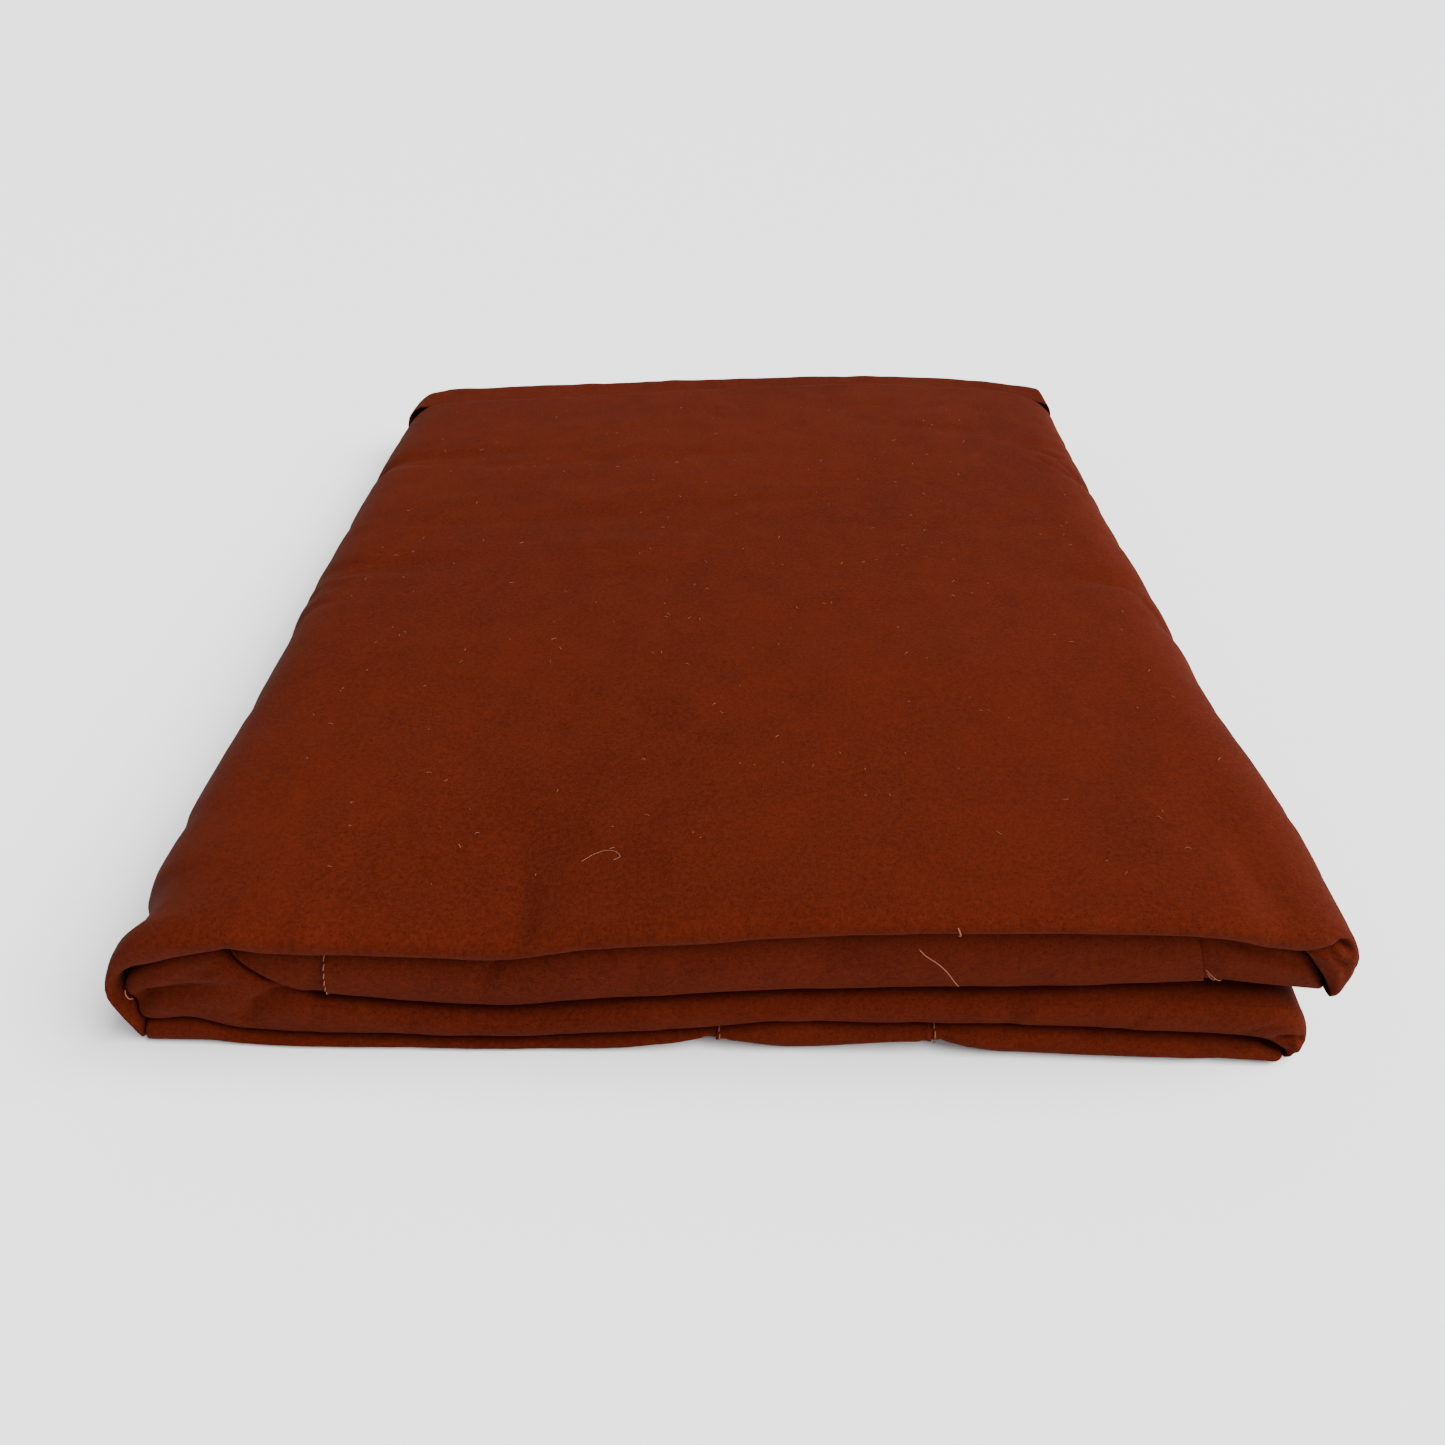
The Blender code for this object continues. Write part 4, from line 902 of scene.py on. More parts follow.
def across_fold(ends, seams, counts):
    """Stations of the pieces between a fold's ends and seams, a seam gap apart."""
    marks = (ends[0],) + tuple(seams) + (ends[1],)
    for i, count in enumerate(counts):
        start = SEAM_GAP / 2 if i > 0 else 0.0
        stop = SEAM_GAP / 2 if i < len(counts) - 1 else 0.0
        low = np.linspace(marks[i].low * MM + start, marks[i + 1].low * MM - stop, count)
        high = np.linspace(marks[i].high * MM + start, marks[i + 1].high * MM - stop, count)
        yield low, high


def end_setback(x, end, depth):
    """How far a fold's nose draws back where it nears its right end."""
    near = np.clip((x - (end - END_TURN)) / END_TURN, 0, 1)
    return depth * near * near


def second_fold_grid(low_x, high_x, count):
    """The upper pack's lower fold between two rows of stations."""
    low_z = from_table(FRONT_LINES, "x", "second", low_x) + FOLD_GAP / 2
    limit = from_table(TUCK_LINE, "x", "z", high_x)
    high_z = np.minimum(from_table(FRONT_LINES, "x", "lip", high_x) - FOLD_GAP, limit)
    reach = from_table(FRONT_REACH, "x", "second", (low_x + high_x) / 2)
    reach += end_setback(low_x, SECOND_FOLD_ENDS[1].low * MM, SECOND_DROP)
    return fold_band((low_x, low_z), (high_x, high_z), reach, GROOVE_BACK, count)


def with_tail(grid):
    """The fold with one more row, which runs back from its lower edge between the two packs."""
    tail = grid[:1].copy()
    share = np.clip((tail[..., 0] - TAIL_START) / TAIL_RAMP, 0, 1)
    tail[..., 0] += TAIL_SPREAD * share
    tail[..., 1] += TAIL_LENGTH + TAIL_REACH * share
    return np.concatenate([tail, grid])


def under_neighbour(low_x, high_x, index):
    """Stations of an outer piece run on under the middle one, and how far each is set back."""
    before = -LAP_UNDER * LAP_STEPS if index == 2 else np.zeros(0)
    after = LAP_UNDER * LAP_STEPS[::-1] if index == 0 else np.zeros(0)
    low, high = (np.concatenate([row[0] + before, row, row[-1] + after]) for row in (low_x, high_x))
    if index == 1:
        return low, high, np.zeros(len(low))
    lap = low[0] if index == 2 else low[-1]
    near = np.clip(1 - np.abs(low - lap) / LAP_FADE, 0, 1)
    return low, high, LAP_DEPTH * near * near * (3 - 2 * near)


def build_second_fold(settings, material):
    """The upper pack's lower fold, in three pieces joined at a stitched seam and a lapped edge."""
    names = ("second_fold_left", "second_fold_middle", "second_fold_right")
    pieces = across_fold(SECOND_FOLD_ENDS, SECOND_FOLD_SEAMS, (24, 200, 40))
    turns = np.linspace(0, 180, 30)
    for i, (name, (low_x, high_x)) in enumerate(zip(names, pieces)):
        low_x, high_x, back = under_neighbour(low_x, high_x, i)
        grid = press_front(second_fold_grid(low_x, high_x, len(turns)), SECOND_DENTS, turns)
        grid[..., 1] += back
        if name == "second_fold_right":
            grid = with_tail(grid)
        grid = rumple(grid, cloth_lengths(grid), settings.rumple * 1.2, SECOND_SEED + i)
        piece = cloth_shell(name + "_cloth", grid, material, settings.thickness, [name])
        declare_cloth(grid)


def lower_grid(y, left_steps, top_steps, turn_steps):
    """Points of the third fold's cloth for rows of y: its columns run from left to right."""
    y = y[:, None]
    right = side("lower_right", y)
    crown_x = right - LOWER_ROLL
    x_left = np.repeat(roll(THIRD_FOLD_LEFT, "x", left_steps)[None] * MM, len(y), axis=0)
    z_left = np.repeat(roll(THIRD_FOLD_LEFT, "z", left_steps)[None] * MM, len(y), axis=0)
    start = THIRD_FOLD_LEFT[-1].x * MM
    x_top = start + (crown_x - start) * top_steps[None]
    z_top = third_crown(x_top, y)
    x_turn = right - roll(LOWER_TURN_PROFILE, "inset", turn_steps)[None] * MM
    z_turn = third_crown(crown_x, y) * roll(LOWER_TURN_PROFILE, "height", turn_steps)[None]
    x = np.concatenate([x_left, x_top, x_turn], axis=1)
    z = np.concatenate([z_left, z_top, z_turn], axis=1)
    return np.stack([x, np.broadcast_to(y, x.shape), z], axis=2)


def crease_depth(x, z, creases):
    """How deep the creases press a front face in at x and z."""
    total = np.zeros(x.shape)
    for crease in creases:
        pressed = np.zeros(x.shape)
        for (x0, z0, d0), (x1, z1, d1) in zip(crease.points, crease.points[1:]):
            run, lift = x1 - x0, z1 - z0
            t = np.clip(((x / MM - x0) * run + (z / MM - z0) * lift) / (run * run + lift * lift), 0, 1)
            away = np.hypot(x / MM - x0 - t * run, z / MM - z0 - t * lift)
            depth = (d0 + (d1 - d0) * t) * np.exp(-((away / crease.half_width) ** 2))
            pressed = np.maximum(pressed, depth)
        total += pressed * MM
    return total


def build_third_fold(settings, material):
    """The lower pack's upper fold, from the spine to the lower right turn."""
    left_steps = steps_to(66, first=True)
    top_steps = steps_to(196, first=True, last=True)
    turn_steps = steps_to(32, last=True)
    y = np.linspace(LOWER_TURN_BACK, LIP_START, 170)
    body = lower_grid(y, left_steps, top_steps, turn_steps)
    outer = body[-1]
    inner_x = np.concatenate([
        roll(THIRD_FOLD_LEFT, "low_x", left_steps) * MM,
        np.linspace(THIRD_FOLD_LEFT[-1].low_x, LOWER_TURN_LIP[0].x, len(top_steps)) * MM,
        roll(LOWER_TURN_LIP, "x", turn_steps) * MM,
    ])
    inner_z = from_table(FRONT_LINES, "x", "third", inner_x) + FOLD_GAP / 2
    inner_z[-len(turn_steps):] = roll(LOWER_TURN_LIP, "z", turn_steps) * MM
    front = from_table(FRONT_REACH, "x", "third", outer[:, 0])
    front[:len(left_steps)] = roll(THIRD_FOLD_LEFT, "reach", left_steps) * MM
    front[-len(turn_steps):] = roll(LOWER_TURN_LIP, "reach", turn_steps) * MM
    turns = np.linspace(0, 180, 31)[1:]
    lip = lip_rows((outer[:, 0], outer[:, 2]), (inner_x, inner_z), front, LIP_START, turns)
    fade = np.clip(np.sin(np.radians(turns)), 0, 1)[:, None] ** 0.6
    creases = LEFT_CREASES + FINE_CREASES
    lip[..., 1] += crease_depth(lip[..., 0], lip[..., 2], creases) * fade
    lip = press_front(lip, THIRD_DENTS, turns)
    grid = np.concatenate([body, lip])[::-1]
    grid = press_sides(grid)
    grid = rumple(grid, cloth_lengths(grid), settings.rumple * 1.2, THIRD_SEED)
    near = grid[:-1, :-1, 1] < LIP_START + SHELF_REACH
    near[:, :len(left_steps)] &= grid[:-1, :len(left_steps), 1] < LIP_START + LEFT_REACH
    keep = near | (grid[:-1, :-1, 0] > CORNER_X - SHELF_REACH)
    # Painted sheen on the rolled sides, moved out along the lower turn
    worn = edge_sheen(grid + np.array([TURN_SHEEN_SHIFT, 0, 0]))
    piece = cloth_shell("third_fold_cloth", grid, material, settings.thickness, ["third_fold"], keep, worn)
    declare_cloth(grid, keep)


def bottom_fold_grid(low_x, high_x, count):
    """The lowest fold between two rows of stations."""
    low_z = from_table(FRONT_LINES, "x", "bottom", low_x)
    high_z = from_table(FRONT_LINES, "x", "third", high_x) - FOLD_GAP
    reach = from_table(FRONT_REACH, "x", "bottom", (low_x + high_x) / 2)
    reach += end_setback(low_x, BOTTOM_FOLD_ENDS[1].low * MM, BOTTOM_DROP)
    return fold_band((low_x, low_z), (high_x, high_z), reach, GROOVE_BACK, count)


def build_bottom_fold(settings, material):
    """The lowest fold on the front, with a narrow strip between two stitched seams."""
    names = ("bottom_fold_left", "bottom_fold_strip", "bottom_fold_right")
    pieces = across_fold(BOTTOM_FOLD_ENDS, BOTTOM_FOLD_SEAMS, (120, 50, 80))
    turns = np.linspace(0, 180, 22)
    for i, (name, (low_x, high_x)) in enumerate(zip(names, pieces)):
        low_x, high_x, back = under_neighbour(low_x, high_x, i)
        grid = press_front(bottom_fold_grid(low_x, high_x, len(turns)), BOTTOM_DENTS, turns)
        grid[..., 1] += back
        grid = rumple(grid, cloth_lengths(grid), settings.rumple, BOTTOM_SEED + i)
        grid[..., 2] = np.maximum(grid[..., 2], 0.0)
        piece = cloth_shell(name + "_cloth", grid, material, settings.thickness, [name])
        declare_cloth(grid)


def back_layer_grid(left_steps, top_steps, end_steps, shares, turns):
    """The layer behind the top panel, with both of its ends rounded down."""
    heights = np.concatenate([
        roll(BACK_LEFT_PROFILE, "height", left_steps),
        np.ones(len(top_steps)),
        roll(BACK_END_PROFILE, "height", end_steps),
    ])
    inset = np.concatenate([
        roll(BACK_LEFT_PROFILE, "inset", left_steps),
        np.zeros(len(top_steps)),
        roll(BACK_END_PROFILE, "inset", end_steps),
    ]) * MM
    left_count, end_count = len(left_steps), len(end_steps)
    y0 = CORNER_Y + BACK_NOSE
    start = side("left", y0) + BACK_LEFT_PROFILE[0].inset * MM
    top_x = start + (BACK_END_X - start) * top_steps
    end_x = side("upper_right", y0) - inset[-end_count:]
    at = np.concatenate([side("left", y0) + inset[:left_count], top_x, end_x])
    reach = from_table(BACK_LINES, "x", "layer", at)
    high = back_crown(np.clip(at, start, BACK_END_X)) * heights
    low = np.minimum(back_crown(at) * BACK_LOW_EDGE, high - CLOTH)
    above = (heights - BACK_LOW_EDGE) / (1 - BACK_LOW_EDGE)
    nose = BACK_NOSE * smooth(BACK_NOSE_KEYS, BACK_NOSE_SHARES, above)
    start_y = reach - BACK_COVER
    widening = side("upper_right", y0) - side("upper_right", LIP_START)
    panel_x = np.where(at > BACK_END_X, at - widening, at)
    clear_y = from_table(BACK_LINES, "x", "panel", panel_x) + BACK_CLEAR
    at_end = (at < start) | (at > BACK_END_X)
    start_y[at_end] = np.maximum(start_y, clear_y)[at_end]
    body_y = start_y + (reach - nose - start_y) * shares[:, None]
    turns = np.radians(turns)[:, None]
    nose_y = reach - nose + nose * np.sin(turns) ** NOSE_FULLNESS
    nose_z = high + (low - high) * (1 - np.cos(turns)) / 2
    y = np.concatenate([body_y, nose_y])
    z = np.concatenate([np.broadcast_to(high, body_y.shape), nose_z])
    x = np.repeat(at[None], len(y), axis=0)
    x[:, :left_count] = side("left", y[:, :left_count]) + inset[:left_count]
    x[:, -end_count:] = side("upper_right", y[:, -end_count:]) - inset[-end_count:]
    return np.stack([x, y, z], axis=2)


def build_back_layer(settings, material):
    """The layer that stands out behind the top panel, with its nose along the pack's back."""
    shares = np.linspace(0, 1, 10)[:-1]
    turns = np.linspace(0, 180, 21)
    left_steps = steps_to(24, last=True)[::-1]
    top_steps = steps_to(150, first=True, last=True)
    grid = back_layer_grid(left_steps, top_steps, steps_to(24, last=True), shares, turns)
    grid = rumple(grid, cloth_lengths(grid), settings.rumple * 1.6, BACK_SEED)
    piece = cloth_shell("back_layer_cloth", grid, material, settings.thickness, ["back_layer"])
    declare_cloth(grid)


LAYER_SHARES = np.linspace(0, 1, 17)
LAYERS_IN_STRIP = 8


def layer_levels():
    """The levels of the hidden layers: strip, share of its height, how far its nose stands."""
    for strip in range(4):
        for share in LAYER_SHARES:
            ridge = 0.06 * abs(math.sin(math.pi * LAYERS_IN_STRIP * share))
            yield strip, share, max(math.sin(math.pi * share), 0.0) ** NOSE_FULLNESS * (0.94 + ridge)


def core_front(x):
    """Front of the hidden layers at the stations x: a point for every level."""
    lows = [from_table(FRONT_LINES, "x", name, x) for name in ("bottom", "third", "second", "lip")]
    highs = [lows[1], third_crown(x, LIP_START), lows[3], base_height(x, LIP_START)]
    drops = (CORE_MARGIN, CORE_MARGIN, CORE_MARGIN, CAP_DROP)
    reaches = [from_table(FRONT_REACH, "x", name, x) for name in ("bottom", "third", "second", "lip")]
    points = []
    for strip, share, nose in layer_levels():
        high = highs[strip] - drops[strip]
        low = np.minimum(lows[strip] + CORE_MARGIN, high - STRIP_LEAST)
        room = np.clip((highs[strip] - lows[strip] - THIN_STRIP) / THIN_RAMP, 0, 1)
        tip = reaches[strip] + CORE_MARGIN
        on_floor = strip == 0 and share == 0
        height = np.zeros_like(x) if on_floor else low + (high - low) * share
        groove = GROOVE_BACK + TUCK_DEPTH + (FLOOR_INSET if on_floor else 0.0)
        points.append(np.stack([x, groove + (tip - groove) * nose * room, height], axis=1))
    return np.array(points).transpose(1, 0, 2)


def core_left(y):
    """Left side of the hidden layers at the stations y."""
    left = side("left", y)
    shoulder = base_height(left + SPINE_ROLL, y) - CAP_DROP
    points = []
    for strip, share, _ in layer_levels():
        height = (strip + share) / 4
        inset = np.interp(height, column(SPINE_PROFILE, "height"), column(SPINE_PROFILE, "inset"))
        points.append(np.stack([left + inset * MM + SPINE_MARGIN, y, shoulder * height], axis=1))
    return np.array(points).transpose(1, 0, 2)


def core_right(y):
    """Right side of the hidden layers at the stations y, with the groove between the two turns."""
    under = side("underside", y)
    crown = base_height(side("upper_right", y) - NOSE_ROLL, y)
    groove = side("lower_right", y) - TURN_GROOVE
    points = []
    for strip, share, _ in layer_levels():
        upper = strip >= 2
        height = (strip - (2 if upper else 0) + share) / 2
        if upper:
            low = under + CORE_MARGIN
            edge = side("upper_right", y)
            high = crown - CAP_DROP
        else:
            low = np.zeros_like(y)
            edge = side("lower_right", y)
            high = under - SHELF_STEP - CORE_MARGIN
        nose = np.sin(np.pi * np.clip(height, 0.0 if upper else FLOOR_ROUND, 1.0)) ** NOSE_FULLNESS
        tip = edge - SPINE_MARGIN
        points.append(np.stack([groove + (tip - groove) * nose, y, low + (high - low) * height], axis=1))
    return np.array(points).transpose(1, 0, 2)


def core_back(x):
    """Back of the hidden layers at the stations x: four stepped layer edges."""
    reach = from_table(BACK_LINES, "x", "layer", x)
    crown = back_crown(x)
    points = []
    for strip, share, nose in layer_levels():
        row = BACK_LAYERS[strip]
        tip = reach - row.inset * MM
        groove = tip - BACK_NOSE
        height = row.low + (row.high - row.low) * share
        points.append(np.stack([x, groove + (tip - groove) * nose, crown * height], axis=1))
    return np.array(points).transpose(1, 0, 2)


def core_corner(start, end, centre, fullness, steps):
    """Columns of a rounded corner between two sides' profiles."""
    angle = np.pi / 2 * np.asarray(steps)[:, None]
    fade_in, fade_out = np.sin(angle) ** fullness, np.cos(angle) ** fullness
    x = centre[0] + (start[:, 0] - centre[0]) * fade_out + (end[:, 0] - centre[0]) * fade_in
    y = centre[1] + (start[:, 1] - centre[1]) * fade_out + (end[:, 1] - centre[1]) * fade_in
    z = start[:, 2] * np.cos(angle) ** 2 + end[:, 2] * np.sin(angle) ** 2
    return np.stack([x, y, z], axis=2)


def core_rings(front_count, right_count, back_count, left_count, corner_steps):
    """The hidden layers' rings: a column of levels for every station round the pack."""
    sides = (
        core_front(np.linspace(-CORNER_X, CORNER_X, front_count)),
        core_right(np.linspace(-CORNER_Y, CORNER_Y, right_count)),
        core_back(np.linspace(CORNER_X, -CORNER_X, back_count)),
        core_left(np.linspace(CORNER_Y, -CORNER_Y, left_count)),
    )
    centres = ((CORNER_X, -CORNER_Y), (CORNER_X, CORNER_Y), (-CORNER_X, CORNER_Y), (-CORNER_X, -CORNER_Y))
    columns = []
    for i, centre in enumerate(centres):
        start, end = sides[i][-1], sides[(i + 1) % 4][0]
        columns.append(sides[i])
        columns.append(core_corner(start, end, centre, CORNER_FULLNESS[i], corner_steps))
    rings = np.concatenate(columns)
    front = np.interp(rings[..., 0], *(np.array(FRONT_LIMIT).T * MM))
    back = from_table(BACK_LINES, "x", "layer", rings[..., 0]) - BACK_MARGIN
    rings[..., 1] = np.clip(rings[..., 1], front, back)
    return rings


def cap_height(x, y):
    """Height of the hidden layers below the top panel, lower where the back layer lies on them."""
    back = np.clip((y - BACK_REST) / BACK_REST_RAMP, 0, 1)
    return base_height(x, y) - CAP_DROP - CAP_BACK_DROP * back


def build_inner_layers(material):
    """The layers that nothing shows, as one rounded form with their edges along its sides."""
    rings = core_rings(*CORE_STATIONS, steps_to(CORNER_STATIONS))
    count, levels = rings.shape[:2]
    verts = [rings.reshape(-1, 3)]
    number = np.arange(count * levels).reshape(count, levels)
    after = np.roll(number, -1, axis=0)
    faces = np.stack([number[:, :-1], after[:, :-1], after[:, 1:], number[:, 1:]], axis=2)
    faces = [faces.reshape(-1, 4)]
    total = count * levels
    for edge, level, on_floor in ((number[:, 0], 0, True), (number[:, -1], -1, False)):
        outline = rings[:, level]
        previous = edge
        for scale in CAP_SCALES:
            points = outline * np.array([scale, scale, 0.0])
            if not on_floor:
                points[:, 2] = cap_height(points[:, 0], points[:, 1])
            ring = total + np.arange(count)
            total += count
            verts.append(points)
            quad = np.stack([previous, np.roll(previous, -1), np.roll(ring, -1), ring], axis=1)
            faces.append(quad[:, ::-1] if on_floor else quad)
            previous = ring
        end = previous[::-1] if on_floor else previous
        faces.append([end.tolist()])
    polygons = [list(face) for block in faces for face in block]
    points = np.concatenate(verts)
    uvs = points[:, :2] + points[:, 2:]
    add_piece("inner_layers", points, polygons, uvs, material, ["hidden_layers"])


def rod(path, radius, sides):
    """Points and faces of a thin round thread along a path."""
    path = np.asarray(path, float)
    tangent = np.gradient(path, axis=0)
    tangent /= np.maximum(np.linalg.norm(tangent, axis=1, keepdims=True), 1e-12)
    up = np.where(np.abs(tangent[:, 2:]) > 0.9, (1.0, 0.0, 0.0), (0.0, 0.0, 1.0))
    beside = np.cross(tangent, up)
    beside /= np.linalg.norm(beside, axis=1, keepdims=True)
    above = np.cross(beside, tangent)
    taper = np.ones(len(path))
    taper[0] = taper[-1] = 0.45
    verts = []
    for k in range(sides):
        angle = 2 * math.pi * k / sides
        verts.append(path + radius * taper[:, None] * (beside * math.cos(angle) + above * math.sin(angle)))
    verts = np.array(verts).transpose(1, 0, 2).reshape(-1, 3)
    faces = []
    for i in range(len(path) - 1):
        for k in range(sides):
            a, b = i * sides + k, i * sides + (k + 1) % sides
            faces.append([a, b, b + sides, a + sides])
    faces.append(list(range(sides))[::-1])
    faces.append([len(verts) - sides + k for k in range(sides)])
    return verts, faces


def joined(rods):
    """Several meshes' points and faces as one."""
    verts, faces, count = [], [], 0
    for points, polygons in rods:
        verts.append(points)
        faces += [[index + count for index in polygon] for polygon in polygons]
        count += len(points)
    return np.concatenate(verts), faces


def seam_line(make_grid, low, high, dents, aside):
    """The cloth's surface beside a seam: points from the fold's lower to its upper edge."""
    stations = np.array([-1.0, 0.0, 1.0]) * MM
    turns = np.linspace(0, 180, 60)
    grid = make_grid(low * MM + aside + stations, high * MM + aside + stations, len(turns))
    grid = press_front(grid, dents, turns)
    return grid[:, 1], grid_normals(grid)[:, 1]


def stitch_row(line, normal, sewing, first, last, lean):
    """Stitches along a line on the cloth, from one share of it to another."""
    lengths = np.concatenate([[0.0], np.cumsum(np.linalg.norm(np.diff(line, axis=0), axis=1))])
    rods = []
    at = lengths[-1] * first
    while at + sewing.stitch < lengths[-1] * last:
        steps = np.linspace(at, at + sewing.stitch, 7)
        path = np.stack([np.interp(steps, lengths, line[:, k]) for k in range(3)], axis=1)
        away = np.stack([np.interp(steps, lengths, normal[:, k]) for k in range(3)], axis=1)
        arch = np.sin(np.linspace(0, math.pi, 7)) ** 0.6
        path = path - away * (sewing.thread * (0.55 * arch - 0.1))[:, None]
        path[:, 0] += np.linspace(-lean, lean, 7)
        rods.append(rod(path, sewing.thread / 2, 8))
        at += sewing.pitch
    return rods


def build_stitching(sewing, material):
    """Stitches along the seams of the second and the lowest fold."""
    seams = (
        ("second_fold_stitches", second_fold_grid, SECOND_FOLD_SEAMS[0], SECOND_DENTS, 0.4, 0.10, 0.96),
        ("strip_left_stitches", bottom_fold_grid, BOTTOM_FOLD_SEAMS[0], BOTTOM_DENTS, 1.3, 0.12, 0.98),
        ("strip_right_stitches", bottom_fold_grid, BOTTOM_FOLD_SEAMS[1], BOTTOM_DENTS, 1.0, 0.12, 0.98),
    )
    for name, make_grid, seam, dents, aside, first, last in seams:
        line, normal = seam_line(make_grid, seam.low, seam.high, dents, aside * MM)
        rods = stitch_row(line, normal, sewing, first, last, 0.15 * MM)
        verts, faces = joined(rods)
        add_piece(name, verts, faces, None, material)


# Loose threads: name, thickness and points
ThreadRow = namedtuple("ThreadRow", "name thickness points")
LOOSE_THREADS = (
    ThreadRow("thread_on_fold", 0.34, (
        (55.5, -249.0, 52.0), (58.0, -250.0, 49.8), (61.0, -249.2, 46.6), (64.0, -248.6, 43.0),
        (66.3, -248.0, 39.4), (68.2, -247.8, 36.2), (69.6, -248.0, 34.4))),
    ThreadRow("thread_by_lap", 0.28, (
        (145.2, -246.2, 40.4), (146.4, -247.4, 39.5), (148.0, -248.0, 38.3), (149.4, -247.8, 37.4),
        (150.4, -247.0, 36.9))),
    ThreadRow("thread_by_lap_short", 0.26, (
        (145.8, -246.4, 39.0), (146.8, -247.4, 38.0), (147.8, -247.6, 37.4), (148.6, -247.0, 37.2))),
    ThreadRow("thread_at_left_corner", 0.34, (
        (-191.3, -245.8, 28.8), (-191.0, -246.8, 27.6), (-190.4, -247.0, 26.2), (-189.6, -246.2, 25.2))),
    ThreadRow("nub_on_lip", 0.5, (
        (66.0, -249.6, 61.8), (66.6, -250.5, 60.6), (67.0, -250.3, 59.2), (66.8, -249.2, 58.0))),
)

# A faint curl of thread on the top panel, seen from above
TOP_CURL = (
    (-49.0, -216.0), (-45.0, -213.0), (-41.0, -211.6), (-38.0, -212.6), (-36.4, -215.0), (-38.6, -216.4))
CURL_LIFT = 0.25 * MM
CURL_RADIUS = 0.05 * MM


def curved(points, count):
    """A smooth path through a few points."""
    points = np.asarray(points, float) * MM
    keys = np.linspace(0, 1, len(points))
    at = np.linspace(0, 1, count)
    return np.stack([smooth(keys, points[:, k], at) for k in range(points.shape[1])], axis=1)


def build_threads(sewing, thread_material, lint_material):
    """Loose threads on the front, a curl and lint on the top."""
    for row in LOOSE_THREADS:
        verts, faces = rod(curved(row.points, 40), row.thickness * MM / 2, 8)
        add_piece(row.name, verts, faces, None, thread_material)
    curl = curved(TOP_CURL, 50)
    height = top_height(curl[:, 0], curl[:, 1]) + CURL_LIFT
    verts, faces = rod(np.column_stack([curl, height]), CURL_RADIUS, 6)
    add_piece("curl_on_top", verts, faces, None, lint_material)
    draw = np.random.default_rng(LINT_SEED)
    rods = []
    for _ in range(sewing.lint):
        x = draw.uniform(-170, 170) * MM
        y = draw.uniform(-232, 190) * MM
        length = draw.uniform(0.5, 2.4) * MM
        angle = draw.uniform(0, 2 * math.pi)
        bend = draw.uniform(-0.9, 0.9)
        steps = np.linspace(-0.5, 0.5, 6)
        heading = angle + bend * 0.5
        bow = length * bend * steps**2
        px = x + length * steps * math.cos(heading) + bow * math.sin(angle)
        py = y + length * steps * math.sin(heading) - bow * math.cos(angle)
        lift = draw.uniform(0.05, 0.5) * MM * (0.25 - steps**2) * 4
        fine = bump_sum(FINE_RIPPLES, px, py, ("x", "y", "turn"), "height")
        pz = top_height(px, py) + fine + 0.16 * MM + lift
        rods.append(rod(np.column_stack([px, py, pz]), draw.uniform(0.03, 0.06) * MM, 4))
    verts, faces = joined(rods)
    add_piece("lint_on_top", verts, faces, None, lint_material)


class NodeBuilder:
    """Adds and links shader nodes."""

    def __init__(self, name):
        self.material = bpy.data.materials.new(name)
        self.material.use_nodes = True
        self.tree = self.material.node_tree
        self.shader = self.tree.nodes["Principled BSDF"]

    def add(self, kind, settings=None, **inputs):
        node = self.tree.nodes.new(kind)
        for key, value in (settings or {}).items():
            setattr(node, key, value)
        for key, value in inputs.items():
            self.feed(node.inputs[key.replace("_", " ")], value)
        return node

    def feed(self, socket, value):
        if isinstance(value, bpy.types.NodeSocket):
            self.tree.links.new(value, socket)
        else:
            socket.default_value = value

    def math(self, operation, a, b=0.0, c=0.0):
        node = self.tree.nodes.new("ShaderNodeMath")
        node.operation = operation
        for socket, value in zip(node.inputs, (a, b, c)):
            self.feed(socket, value)
        return node.outputs[0]

    def mix(self, share, a, b):
        node = self.tree.nodes.new("ShaderNodeMix")
        node.data_type = "RGBA"
        self.feed(node.inputs["Factor"], share)
        self.feed(node.inputs[6], a)
        self.feed(node.inputs[7], b)
        return node.outputs[2]

    def noise(self, where, scale, detail=2.0, roughness=0.5):
        node = self.add("ShaderNodeTexNoise", None, Vector=where, Scale=scale, Detail=detail)
        node.inputs["Roughness"].default_value = roughness
        return node.outputs["Fac"]

    def ramp(self, value, low, high):
        node = self.add("ShaderNodeMapRange", {"interpolation_type": "SMOOTHSTEP"}, Value=value)
        node.inputs["From Min"].default_value = low
        node.inputs["From Max"].default_value = high
        return node.outputs["Result"]


def solid(color):
    return (color[0], color[1], color[2], 1.0)


